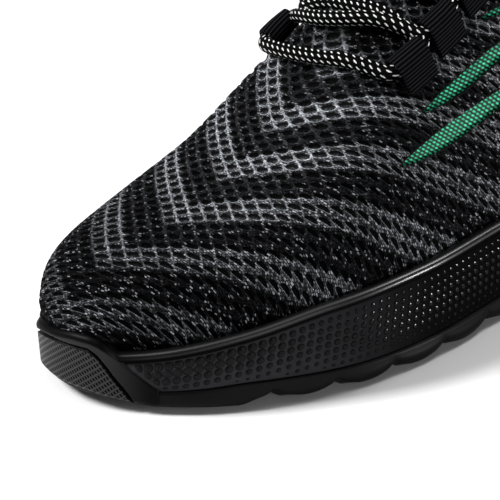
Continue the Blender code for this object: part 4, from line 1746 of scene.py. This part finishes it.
@dataclass
class Sole:
    """Cup sole: studded sidewall, lip bead, toe bumper, lugged outsole and insole."""

    parting_gap: float = 0.2
    wall_split: float = 0.45
    wall_columns: tuple[int, int, int] = (520, 300, 160)
    wall_rows: int = 78
    wall_insets: tuple[Height, ...] = (
        Height(0.0, 0.7), Height(0.22, 0.0), Height(0.7, 0.1), Height(1.0, 0.9),
    )
    dome_pitch: float = 2.96
    dome_wider: float = 0.39
    dome_rows: float = 2.65
    dome_shear: float = 0.18
    dome_anchor: float = 122.97
    dome_start: float = 2.0
    dome_raise: float = 0.35
    studs_behind: tuple[float, ...] = (0.75, 0.92, 1.08, 1.08, 1.05, 0.95, 0.7)
    studs_ahead: tuple[float, ...] = (1.5, 1.52, 1.3, 1.0, 0.65, 0.5, 0.4)
    dome_height: float = 0.28
    bumper_low_t: float = 0.8955
    bumper_face: float = 0.1
    bumper_set_back: float = 0.15
    bumper_round: float = 2.2
    bumper_depth: float = 1.6
    bumper_flange: float = 4.6
    bumper_hem: float = 0.7
    band_drop: float = 0.7
    band_proud: float = 0.4
    bumper_edges: tuple[Edge, ...] = (
        Edge(-37.0, 9.8, 0.0),
        Edge(-33.0, 14.0, 3.0),
        Edge(-27.0, 18.2, 10.5),
        Edge(-20.0, 20.8, 16.0),
        Edge(-11.0, 23.1, 19.8),
        Edge(1.0, 25.3, 21.6),
        Edge(9.7, 26.4, 21.7),
        Edge(14.0, 26.3, 21.6),
        Edge(17.4, 25.6, 19.9),
        Edge(20.3, 24.0, 16.5),
        Edge(22.7, 21.9, 12.9),
        Edge(25.8, 19.2, 8.8),
        Edge(30.0, 15.6, 3.0),
        Edge(37.0, 9.8, 0.0),
    )
    lip_end: float = 0.934
    lip_sink: float = 3.0
    lip_back: float = 2.5
    lip_gap: float = 0.3
    lip_profile: tuple[Pair, ...] = (
        (0.9, 0.0), (0.15, 1.1), (0.6, 2.5), (1.9, 3.1), (3.6, 2.9), (4.6, 2.0), (4.6, 0.0),
    )
    lug_count: int = 17
    lug_phase: float = 0.45
    lug_depth: float = 2.8
    lug_steps: int = 26
    tread_rows: tuple[Pair, ...] = (
        (1.0, 0.5), (0.95, 0.1), (0.8, 0.0), (0.6, -0.05), (0.4, -0.15), (0.2, -0.1), (0.08, 0.25),
        (0.0, 0.8),
    )
    bottom_shares: tuple[float, ...] = (0.93, 0.86, 0.6, 0.3, 0.16, 0.1)
    cup_inset: float = 4.7
    cup_reach: float = 9.0
    foot_inset: float = 3.0
    insole_inset: float = 7.8
    insole_thick: float = 4.0

    def build(self) -> None:
        """Build and dress every piece of the sole."""
        self.build_wall()
        self.build_lip()
        self.build_bumper()
        self.build_outsole()
        self.build_insole()

    def stud_radius(self, row: Array, front: Array) -> Array:
        """Radius of a dome.

        Args:
            row: Rows counted down from the lip.
            front: 0 along the sides to 1 near the toe.

        Returns:
            Radii in mm.
        """
        rows = np.arange(float(len(self.studs_behind)))
        behind, ahead = (np.interp(row, rows, radii) for radii in (self.studs_behind, self.studs_ahead))
        return behind * (1 - front) + ahead * front

    def domes(self, s: Array, drop: Array, height: Array) -> tuple[Array, Array, Array, Array]:
        """Round domes on the sidewall, in sheared rows under the lip.

        Args:
            s: Distances from the toe tip along the outline.
            drop: Distances below the wall's top.
            height: Heights of the wall.

        Returns:
            Heights in mm, the domes' places along and down the wall, and their radii.
        """
        stride = 0.5
        walk = np.arange(0.0, 380.0, stride)
        pitch = self.dome_pitch + self.dome_wider * smooth_step(110.0, 65.0, walk)
        count = np.concatenate([[0.0], np.cumsum(stride / pitch)])[:-1]
        front = smooth_step(105.0, 58.0, s)
        level = (drop - self.dome_start + self.dome_raise * front) / self.dome_rows
        row = np.round(level)
        start = np.interp(s, walk, count) - np.interp(self.dome_anchor, walk, count) - self.dome_shear
        turn = start + self.dome_shear * row
        x = (turn - np.round(turn)) * np.interp(s, walk, pitch)
        y = (level - row) * self.dome_rows
        size = self.stud_radius(row, front)
        clear = smooth_step(0.5, 1.4, height - drop)
        share = np.clip(1 - (x**2 + y**2) / size**2, 0.0, 1.0) * (row >= 0) * clear
        radius = self.stud_radius(level, front) * (level > -0.5) * clear
        return share * size * self.dome_height, start, level, radius

    def wall_side(self, t: Array, side: Side) -> tuple[Array, Array, Array, Array]:
        """Columns of the cup's skin at fractions of a side: foot, sidewall, rim and floor.

        Args:
            t: Fractions from heel to toe.
            side: Side of the shoe.

        Returns:
            Points, the domes' places along and down the wall, and their radii.
        """
        share = np.linspace(0.0, 1.0, self.wall_rows)
        inset = along_table(self.wall_insets, "z", share)
        low = LAST.parting(t, side) + self.parting_gap
        high = LAST.lip(t, side) - LAST.lip_height
        z = low[:, None] + (high - low)[:, None] * share[None]
        s = (1 - t)[:, None] * LAST.sides[side][3] + 0.0 * z
        covered = self.crest(t, side)[:, None] - z
        hidden = smooth_step(0.6, 1.8, covered)
        bare = smooth_step(-0.3, -1.6, covered)
        rise, start, level, radius = self.domes(s, high[:, None] - z, (high - low)[:, None])
        face = inset[None] * (1 - hidden) + (self.bumper_depth + 0.3) * hidden - rise * bare
        wall = LAST.rim(t[:, None] + 0.0 * z, side, face, z)
        floor = LAST.footbed(t, side)
        before = [LAST.rim(t, side, depth, low)[:, None] for depth in (self.cup_reach, self.foot_inset)]
        steps = ((self.cup_inset, high), (self.cup_inset, floor), (self.cup_reach, floor))
        after = [LAST.rim(t, side, depth, height)[:, None] for depth, height in steps]
        margin = ((0, 0), (len(before), len(after)))
        points = np.concatenate(before + [wall] + after, 1)
        start, level = (np.pad(part, margin, "edge") for part in (start, level))
        return points, start, level, np.pad(radius * bare, margin)

    def build_wall(self) -> None:
        """Cup with its studded sidewall, finer from the toe to the instep, set in behind the bumper."""
        ahead, inner = (np.linspace(self.wall_split, 1.0, count) for count in self.wall_columns[:2])
        behind = np.linspace(0.0, self.wall_split, self.wall_columns[2])
        halves = []
        front = ((Side.LATERAL, ahead), (Side.MEDIAL, inner[::-1]))
        rear = ((Side.MEDIAL, behind[::-1]), (Side.LATERAL, behind))
        for parts in (front, rear):
            built = [self.wall_side(t, side) for side, t in parts]
            points, start, level, radius = (np.concatenate(rows) for rows in zip(*built))
            item = Bench.grid("midsole_wall", points)
            Bench.chart(item, start, level)
            Bench.mark(item, "stud", radius)
            halves.append(item)
        item = Bench.join("midsole_wall", halves)
        Bench.weld(item, fill=True)
        Bench.face(item, self.from_middle)
        Bench.finish(item, WALL, "rubber", "midsole")

    @staticmethod
    def from_middle(middles: Array) -> Array:
        """Outward direction from the sole's middle line, level."""
        away = middles * np.array([0.0, 1.0, 0.0])
        return np.where(np.abs(away) > 0.02, away, 0.0)

    def build_lip(self) -> None:
        """Glossy bead on the cup's rim, carried on over the bumper round the toe."""
        ring = curve_through(np.array(self.lip_profile), True, 5)
        even = np.linspace(0.0, 1.0, 280)
        rows = []
        for side, order in ((Side.MEDIAL, even[::-1]), (Side.LATERAL, even[1:])):
            seat = LAST.lip(order, side) - LAST.lip_height + self.lip_gap
            floor = np.maximum(seat, self.crest(order, side) - self.lip_sink)
            back = self.lip_back * smooth_step(self.lip_end - 0.005, self.lip_end + 0.015, order)
            z = floor[:, None] + ring[None, :, 1]
            rows.append(LAST.rim(order[:, None] + 0.0 * z, side, ring[None, :, 0] + back[:, None], z))
        points = np.concatenate(rows)
        item = Bench.grid("lip_bead", points)
        order = np.concatenate([even[::-1], even[1:]])
        shine = smooth_step(self.lip_end + 0.01, self.lip_end - 0.06, order)
        Bench.mark(item, "shine", shine[:, None] * smooth_step(1.1, 1.9, ring[None, :, 1]))
        Bench.weld(item, fill=True)
        path = points.mean(1)
        Bench.face(item, Bench.from_path(path))
        Bench.finish(item, GLOSS, "gloss", "sole_lip")

    def from_tip(self, s: Array) -> tuple[Side, Array]:
        """Side and fractions of distances from the toe tip, all of one sign, outer side above zero."""
        side = Side.LATERAL if np.max(s) > 0 else Side.MEDIAL
        return side, 1 - np.abs(s) / LAST.sides[side][3]

    def crest(self, t: Array, side: Side) -> Array:
        """Height of the bumper's top edge.

        Args:
            t: Fractions from heel to toe.
            side: Side of the shoe.

        Returns:
            Heights in mm, 0 where there is no bumper.
        """
        s = (1 - np.asarray(t, float)) * LAST.sides[side][3] * side.value
        inside = (s > self.bumper_edges[0].s) & (s < self.bumper_edges[-1].s)
        return np.where(inside, along_table(self.bumper_edges, "crest", s), 0.0)

    def build_bumper(self) -> None:
        """Bumper round the toe: a smooth band over a set-back ribbed panel, flush at its rear ends."""
        low_share, arc = np.linspace(0.0, 1.0, 62), np.linspace(0.0, math.pi / 2, 9)[1:]
        parts, panels, crowns, charts = [], [], [], []
        ends = (self.bumper_edges[0].s + 0.01, self.bumper_edges[-1].s - 0.01)
        for s in (np.linspace(ends[1], 0.0, 110), np.linspace(0.0, ends[0], 110)[1:]):
            side, t = self.from_tip(s)
            rear = smooth_step(8.0, 36.0, np.abs(s))
            low = LAST.ground(t, side) * (1 - 0.4 * rear) + self.bumper_hem
            toe = smooth_step(25.0, 19.0, np.abs(s))
            crest = along_table(self.bumper_edges, "crest", s) - self.band_drop * toe
            groove = along_table(self.bumper_edges, "groove", s)
            slope = np.gradient(groove, s)
            turn = np.minimum(self.bumper_round, (crest - low) * 0.4)
            rows = low[:, None] + (crest - turn - low)[:, None] * low_share[None]
            z = np.concatenate([rows, (crest - turn)[:, None] + turn[:, None] * np.sin(arc)[None]], 1)
            crown = np.concatenate([0.0 * rows, turn[:, None] * (1 - np.cos(arc))[None]], 1)
            inside = (groove[:, None] - z) / np.sqrt(1 + slope[:, None] ** 2)
            panel = smooth_step(0.2, 0.7, inside)
            cleft = smooth_step(-0.25, 0.1, inside) * smooth_step(1.05, 0.75, inside)
            # Mask of the groove between band and panel, painted dark as shade in the finish.
            dark = smooth_step(-0.25, 0.0, inside) * smooth_step(1.5, 1.25, inside)
            proud = self.band_proud * smooth_step(28.0, 14.0, np.abs(s))[:, None]
            tail = smooth_step(ends[1] - 9.0, ends[1], s) + smooth_step(ends[0] + 9.0, ends[0], s)
            foot = smooth_step(0.12, 0.0, (z - low[:, None]) / 12.0)
            inset = self.bumper_face - proud + self.bumper_set_back * panel
            inset = inset + 1.1 * cleft + 0.9 * foot + crown
            inset = inset - (self.bumper_face + 0.2) * tail[:, None]
            face = LAST.rim(t[:, None] + 0.0 * z, side, inset, z)
            back = [(3.2, crest - 0.5), (self.bumper_flange, crest - 1.4), (self.bumper_flange, crest - 3.0),
                    (self.bumper_depth, crest - 3.6), (self.bumper_depth, low)]
            inner = [LAST.rim(t, side, depth, np.maximum(level, low))[:, None] for depth, level in back]
            parts.append(np.concatenate([face] + inner + [face[:, :1]], 1))
            blank = np.zeros((len(s), len(back) + 1))
            panels.append(np.concatenate([smooth_step(1.1, 1.35, inside), blank], 1))
            # Marks for painted shade: the band's rounded top near the toe and the groove; the band is also
            # darkened towards its rear ends.
            top = toe[:, None] * smooth_step(2.6, 1.6, crest[:, None] - z)
            top = np.maximum(np.maximum(top, dark), 0.95 * smooth_step(18.0, 36.0, np.abs(s))[:, None])
            crowns.append(np.concatenate([top, blank + toe[:, None]], 1))
            charts.append((np.concatenate([s[:, None] + 0.0 * z, blank], 1), np.concatenate([z, blank], 1)))
        item = Bench.grid("bumper", np.concatenate(parts))
        Bench.mark(item, "panel", np.concatenate(panels))
        Bench.mark(item, "crown", np.concatenate(crowns))
        Bench.chart(item, np.concatenate([c[0] for c in charts]), np.concatenate([c[1] for c in charts]))
        Bench.weld(item, fill=True)
        Bench.face(item, lambda middles: middles * np.array([1.0, 1.0, 0.0]))
        Bench.finish(item, BUMPER, "rubber", "toe_bumper")

    def build_outsole(self) -> None:
        """Tread with scalloped lugs along both edges."""
        t = np.linspace(0.0, 1.0, self.lug_count * self.lug_steps + 1)
        phase = (t * self.lug_count - self.lug_phase) % 1.0
        hump = np.clip(np.sin(np.pi * np.clip((phase - 0.04) / 0.92, 0.0, 1.0)), 0.0, 1.0) ** 0.55
        front = smooth_step(0.805, 0.825, t)
        hump = np.maximum(hump, front)
        step = smooth_step(self.bumper_low_t + 0.001, self.bumper_low_t + 0.005, t)
        fade = smooth_step(self.bumper_low_t, self.bumper_low_t - 0.05, t)
        wall = -0.3 * fade + (self.bumper_depth + 0.3) * step
        halves = {}
        for side in Side:
            ground = LAST.ground(t, side)
            top = LAST.parting(t, side)
            edge = np.minimum(ground * (1 - 0.4 * front) + 4.6 - 3.3 * hump - 0.6 * front, top - 0.6)
            rows = [LAST.rim(t, side, wall + 4.0, top)]
            for share, inset in self.tread_rows:
                z = edge + (top - edge) * share
                puff = -0.5 * hump * math.sin(math.pi * min(share * 1.25, 1.0))
                rows.append(LAST.rim(t, side, wall + inset + puff * fade, z))
            halves[side] = (rows, ground)
        middle = (halves[Side.LATERAL][0][-1] + halves[Side.MEDIAL][0][-1]) / 2
        bottom: dict[Side, list[Array]] = {side: [] for side in Side}
        for side in Side:
            rows, ground = halves[side]
            for share in self.bottom_shares:
                point = middle + (rows[-1] - middle) * share
                lift = self.lug_depth * (1 - smooth_step(0.2, 0.6, hump))
                if share == self.bottom_shares[0]:
                    lift = lift * 0.5 + 0.5 * np.clip(rows[-1][:, 2] - ground, 0.0, 9.0) * 0.5
                if share == self.bottom_shares[-1]:
                    lift = np.full(t.shape, self.lug_depth)
                point[:, 2] = ground + lift
                bottom[side].append(point)
        lateral = halves[Side.LATERAL][0] + bottom[Side.LATERAL]
        medial = halves[Side.MEDIAL][0] + bottom[Side.MEDIAL]
        ring = lateral + medial[::-1]
        points = np.stack(ring + ring[:1], 1)
        item = Bench.grid("tread", points)
        Bench.weld(item)
        Bench.face(item, self.from_middle)
        Bench.finish(item, RUBBER, "rubber", "outsole")

    def build_insole(self) -> None:
        """Foam insole with a textile face and a soft raised edge."""
        t, share = over_grid(np.linspace(0.0, 1.0, 120), np.linspace(-1.0, 1.0, 33))
        edge = {side: LAST.rim(t, side, self.insole_inset, LAST.footbed(t, side)) for side in Side}
        blend = (share[..., None] + 1) / 2
        points = edge[Side.MEDIAL] * (1 - blend) + edge[Side.LATERAL] * blend
        points[..., 2] += self.insole_thick + 0.6 * np.abs(share) ** 4 - 0.6
        under = points.copy()
        under[..., 2] -= self.insole_thick - 0.6
        item = Bench.grid("insole_pad", np.concatenate([points, under[:, ::-1], points[:, :1]], 1))
        x, y = points[..., 0], points[..., 1]
        Bench.chart(item, *[np.concatenate([c, c[:, ::-1], c[:, :1]], 1) for c in (x, y)])
        Bench.weld(item)
        Bench.face(item, lambda middles: (middles - np.array([0.0, 0.0, 0.018])) * np.array([0.0, 0.0, 1.0]))
        Bench.finish(item, FOAM, "foam", "insole")


@dataclass
class Lacing:
    """Tape loops on both sides and one round lace through them."""

    radius: float = 2.5
    rest: float = 0.8
    cross_lift: float = 2.8
    bow: float = 5.0
    over_bow: float = 9.0
    loop_width: float = 12.5
    inner_width: float = 11.0
    loop_rest: float = 0.4
    loop_lean: float = 0.4
    inner_skew: float = 0.3
    ridge_y: float = -3.5
    tape_thick: float = 0.9
    tape_bevel: float = 0.18
    tape_step: float = 0.7
    lace_step: float = 0.9
    loop_bend: tuple[Pair, ...] = (
        (9.0, 0.5), (5.0, 0.5), (1.0, 0.5), (-3.1, 0.55), (-4.45, 1.6), (-5.1, 3.45), (-4.45, 5.6),
        (-2.85, 6.85), (-0.7, 7.1), (2.1, 6.0), (4.8, 3.7), (9.0, 1.5),
    )
    tunnel_steps: tuple[Triple, ...] = (
        (7.4, -1.0, 4.0), (4.5, -0.7, 4.15), (0.0, -0.7, 4.2), (-4.5, -0.7, 4.15), (-7.4, -1.0, 4.0),
    )
    eyelets: tuple[Eyelet, ...] = (
        Eyelet(1, 0.597, 0.600, 0.634, 0.630),
        Eyelet(2, 0.553, 0.630, 0.590, 0.655),
        Eyelet(3, 0.510, 0.655, 0.545, 0.675),
        Eyelet(4, 0.470, 0.675, 0.503, 0.690),
    )

    def build(self) -> None:
        """Build and dress the loops and the lace."""
        for eyelet in self.eyelets:
            for side in Side:
                self.build_loop(eyelet, side)
        self.build_lace()

    def at(self, eyelet: Eyelet, side: Side) -> Pair:
        """Place of a loop on one side.

        Args:
            eyelet: Row of the loop.
            side: Side of the shoe.

        Returns:
            Fractions t and q.
        """
        if side is Side.LATERAL:
            return eyelet.lateral_t, eyelet.lateral_q
        return eyelet.medial_t, eyelet.medial_q

    def place(self, eyelet: Eyelet, side: Side, along: Array, out: Array, up: Array) -> Array:
        """Points over the upper from a loop's own sizes.

        Args:
            eyelet: Row of the loop.
            side: Side of the shoe.
            along: Distances toe-ward.
            out: Distances down the side.
            up: Heights over the knit.

        Returns:
            Points in mm.
        """
        t, q = self.at(eyelet, side)
        _, _, _, scale_t, scale_q = LAST.skin(t, side, q)
        along, out, up = np.broadcast_arrays(np.asarray(along, float), out, up)
        if side is Side.MEDIAL:
            out = out - self.inner_skew * along
        return LAST.over(t + (along - self.loop_lean * out) / scale_t, side, q - out / scale_q, up)

    def build_loop(self, eyelet: Eyelet, side: Side) -> None:
        """Folded tape, its two layers sewn together at the root.

        Args:
            eyelet: Row of the loop.
            side: Side of the shoe.
        """
        line = even_spacing(curve_through(np.array(self.loop_bend), False, 8), self.tape_step)
        width = np.linspace(-0.5, 0.5, 13) * (self.loop_width if side is Side.LATERAL else self.inner_width)
        along, out = over_grid(width, line[:, 0])
        up = np.broadcast_to(line[:, 1], along.shape) + self.loop_rest
        item = Bench.grid(f"loop_{side.name.lower()}_{eyelet.row}", self.place(eyelet, side, along, out, up))
        across = np.broadcast_to(np.arange(len(line)) * self.tape_step, along.shape)
        Bench.chart(item, along, across)
        Bench.apply(item, "SOLIDIFY", thickness=self.tape_thick * MM, offset=0.0, use_even_offset=True)
        Bench.apply(item, "BEVEL", width=self.tape_bevel * MM, segments=2, limit_method="ANGLE")
        Bench.activate(item)
        bpy.ops.object.shade_smooth()
        Bench.finish(item, TAPE, "tape", f"lace_loop_{side.name.lower()}_{eyelet.row}")

    def over_plan(self, x: float, y: float, t: float, q: float) -> tuple[Side, float, float]:
        """Place on the upper over a plan point.

        Args:
            x: Station.
            y: Distance to the outer side.
            t: First guess of the fraction t.
            q: First guess of the fraction q.

        Returns:
            Side and fractions.
        """
        side = Side.LATERAL if y > self.ridge_y else Side.MEDIAL
        target = np.array([x, y])
        for _ in range(12):
            here = LAST.upper(t, side, q)[:2]
            by_t = (LAST.upper(t + 0.002, side, q)[:2] - here) / 0.002
            by_q = (LAST.upper(t, side, q - 0.002)[:2] - here) / -0.002
            move = np.linalg.solve(np.stack([by_t, by_q], 1), target - here)
            t = float(np.clip(t + np.clip(move[0], -0.05, 0.05), 0.45, 0.95))
            q = float(np.clip(q + np.clip(move[1], -0.1, 0.1), 0.3, 0.985))
        return side, t, q

    def strand(self, far: Array, near: Array, row: int, bow: float, lift: float) -> Array:
        """Strand of the lace across the instep, from the inner side to the outer.

        Args:
            far: Its end on the inner side.
            near: Its end on the outer side.
            row: Row of the loops that it starts from.
            bow: How far it bows to the toe.
            lift: Extra height where it rides over another strand.

        Returns:
            Points in mm.
        """
        t, q = self.at(self.eyelets[row], Side.MEDIAL)
        shares = np.linspace(0.0, 1.0, 31)
        points = far + (near - far) * shares[:, None]
        points[:, 0] += bow * np.sin(np.pi * shares) ** 0.7
        for point, share in zip(points[1:-1], shares[1:-1]):
            side, t, q = self.over_plan(point[0], point[1], t, q)
            place, _, normal, _, _ = LAST.skin(t, side, q)
            height = self.radius + self.rest + lift * math.exp(-(((share - 0.76) / 0.24) ** 2))
            point[2] = place[2] + height / max(float(normal[2]), 0.5)
        points[:, 2] = self.taut(points[:, 2])
        return points[3:-3]

    @staticmethod
    def taut(heights: Array) -> Array:
        """Heights of a line pulled tight over others, at even steps.

        Args:
            heights: Lowest heights that the line may have.

        Returns:
            Heights with no dips.
        """
        found = heights.copy()
        for first in range(len(heights)):
            for last in range(first + 1, len(heights)):
                line = np.linspace(heights[first], heights[last], last - first + 1)
                found[first : last + 1] = np.maximum(found[first : last + 1], line)
        return found

    def tunnel(self, eyelet: Eyelet, side: Side) -> Array:
        """Lace's way through a loop, from its toe end to its heel end."""
        along, out, up = np.array(self.tunnel_steps).T
        return self.place(eyelet, side, along, out, up)

    def way(self) -> Array:
        """Middle line of the whole lace, from one top loop down to the bar and up to the other.

        Returns:
            Points in mm.
        """
        ways = {side: [self.tunnel(eyelet, side) for eyelet in self.eyelets] for side in Side}

        def climb(side: Side) -> list[Array]:
            """Lace from the lowest loop of one side up to the highest row.

            Args:
                side: Side that it starts on.

            Returns:
                Its stretches in order.
            """
            found = [ways[side][0]]
            for row in range(len(self.eyelets) - 1):
                other = Side(-side.value)
                here, there = ways[side][row][-1], ways[other][row + 1][0]
                if side is Side.MEDIAL:
                    found.append(self.strand(here, there, row, self.over_bow, self.cross_lift))
                else:
                    found.append(self.strand(there, here, row, 0.0, 0.0)[::-1])
                side = other
                found.append(ways[side][row + 1])
            return found

        bar = self.strand(ways[Side.MEDIAL][0][0], ways[Side.LATERAL][0][0], 0, self.bow, 0.0)
        medial, lateral = np.vstack(climb(Side.MEDIAL))[::-1], np.vstack(climb(Side.LATERAL))
        points = even_spacing(curve_through(np.vstack([medial, bar, lateral]), False, 8), self.lace_step)
        for _ in range(8):
            points[1:-1] = (points[:-2] + 2 * points[1:-1] + points[2:]) / 4
        return even_spacing(points, self.lace_step)

    def build_lace(self) -> None:
        """One round braided lace through all the loops."""
        path = self.way()
        ahead = unit(np.gradient(path, axis=0))
        up = np.empty_like(path)
        up[0] = (0.0, 0.0, 1.0)
        for i in range(1, len(path)):
            kept = up[i - 1] - ahead[i] * (up[i - 1] @ ahead[i])
            up[i] = kept / np.linalg.norm(kept)
        length = lengths(path)
        item = Bench.tube("lace", path, up, (self.radius, self.radius), 20, length, 1.0, False)
        LOG.info("lace: %.0f mm long", length[-1])
        Bench.finish(item, CORD, "cord", "lace_bar", "lace_crossing_1", "lace_crossing_2", "lace_crossing_3")


@dataclass
class Studio:
    """White floor, soft light and the camera."""

    floor_size: float = 12.0
    sun: float = 0.9
    lamps: tuple[Lamp, ...] = (
        Lamp("key", (0.79, -0.52, 0.88), (0.10, 0.0, 0.03), 0.35, 31.0),
        Lamp("back", (-0.50, 0.10, 0.85), (0.05, 0.0, 0.03), 0.3, 5.0),
        Lamp("spark", (-0.50, 0.85, 0.065), (0.05, 0.05, 0.02), 0.11, 8.0),
        Lamp("fill", (0.45, 1.00, 0.35), (0.08, 0.06, 0.0), 0.7, 2.5),
    )

    def build(self) -> None:
        """Set the floor, the lights and the camera."""
        self.build_floor()
        self.build_world()
        for lamp in self.lamps:
            self.build_light(lamp)
        self.build_sun()
        self.build_camera()

    def build_floor(self) -> None:
        """Wide plain floor."""
        bpy.ops.object.select_all(action="DESELECT")
        bpy.ops.mesh.primitive_plane_add(size=self.floor_size)
        floor = bpy.context.active_object
        floor.name = "floor"
        floor.data.materials.append(FloorFinish("studio_floor").material)

    def build_world(self) -> None:
        """White surroundings that darken overhead, in Blender's plain view transform."""
        scene = bpy.context.scene
        world = bpy.data.worlds.new("studio")
        world.use_nodes = True
        nodes, links = world.node_tree.nodes, world.node_tree.links
        parts = nodes.new("ShaderNodeSeparateXYZ")
        links.new(nodes.new("ShaderNodeTexCoord").outputs["Generated"], parts.inputs[0])
        fall = nodes.new("ShaderNodeMapRange")
        for socket, value in zip(list(fall.inputs)[1:5], (0.0, 0.3, 0.35, 0.04)):
            socket.default_value = value
        links.new(parts.outputs[2], fall.inputs[0])
        links.new(fall.outputs[0], nodes["Background"].inputs[1])
        nodes["Background"].inputs[0].default_value = (1.0, 1.0, 1.0, 1.0)
        scene.world = world
        scene.view_settings.view_transform = "Standard"

    def build_light(self, lamp: Lamp) -> None:
        """Add a square soft light.

        Args:
            lamp: The light.
        """
        bpy.ops.object.light_add(type="AREA", location=lamp.place)
        item = bpy.context.active_object
        item.name = lamp.name
        item.data.size = lamp.size
        item.data.energy = lamp.power
        item.rotation_euler = (Vector(lamp.aim) - Vector(lamp.place)).to_track_quat("-Z", "Y").to_euler()

    def build_sun(self) -> None:
        """Wide soft light from overhead that falls evenly on the floor."""
        bpy.ops.object.select_all(action="DESELECT")
        bpy.ops.object.light_add(type="SUN", location=(0.0, 0.0, 2.0))
        item = bpy.context.active_object
        item.name = "sun"
        item.data.energy = self.sun
        item.data.angle = 1.0

    def build_camera(self) -> None:
        """Camera at the photograph's angle and framing."""
        target = Vector((np.array(VIEW.target) - ORIGIN) * MM)
        side, top, back = VIEW.axes
        data = bpy.data.cameras.new("camera")
        data.sensor_width = 36.0
        data.lens = VIEW.focal * data.sensor_width / VIEW.frame
        data.shift_x = (VIEW.frame / 2 - VIEW.middle[0]) / VIEW.frame
        data.shift_y = (VIEW.middle[1] - VIEW.frame / 2) / VIEW.frame
        data.clip_start, data.clip_end = 0.05, 50.0
        camera = bpy.data.objects.new("camera", data)
        bpy.context.scene.collection.objects.link(camera)
        turn = Matrix((side, top, back)).transposed().to_4x4()
        camera.matrix_world = Matrix.Translation(target + back * VIEW.distance * MM) @ turn
        bpy.context.scene.camera = camera


def main() -> None:
    """Build the shoe's looks in order."""
    logging.basicConfig(level=logging.INFO, format="%(name)s %(message)s")
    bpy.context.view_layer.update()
    Studio().build()
    Upper().build()
    Sole().build()
    Lacing().build()


if __name__ == "__main__":
    main()
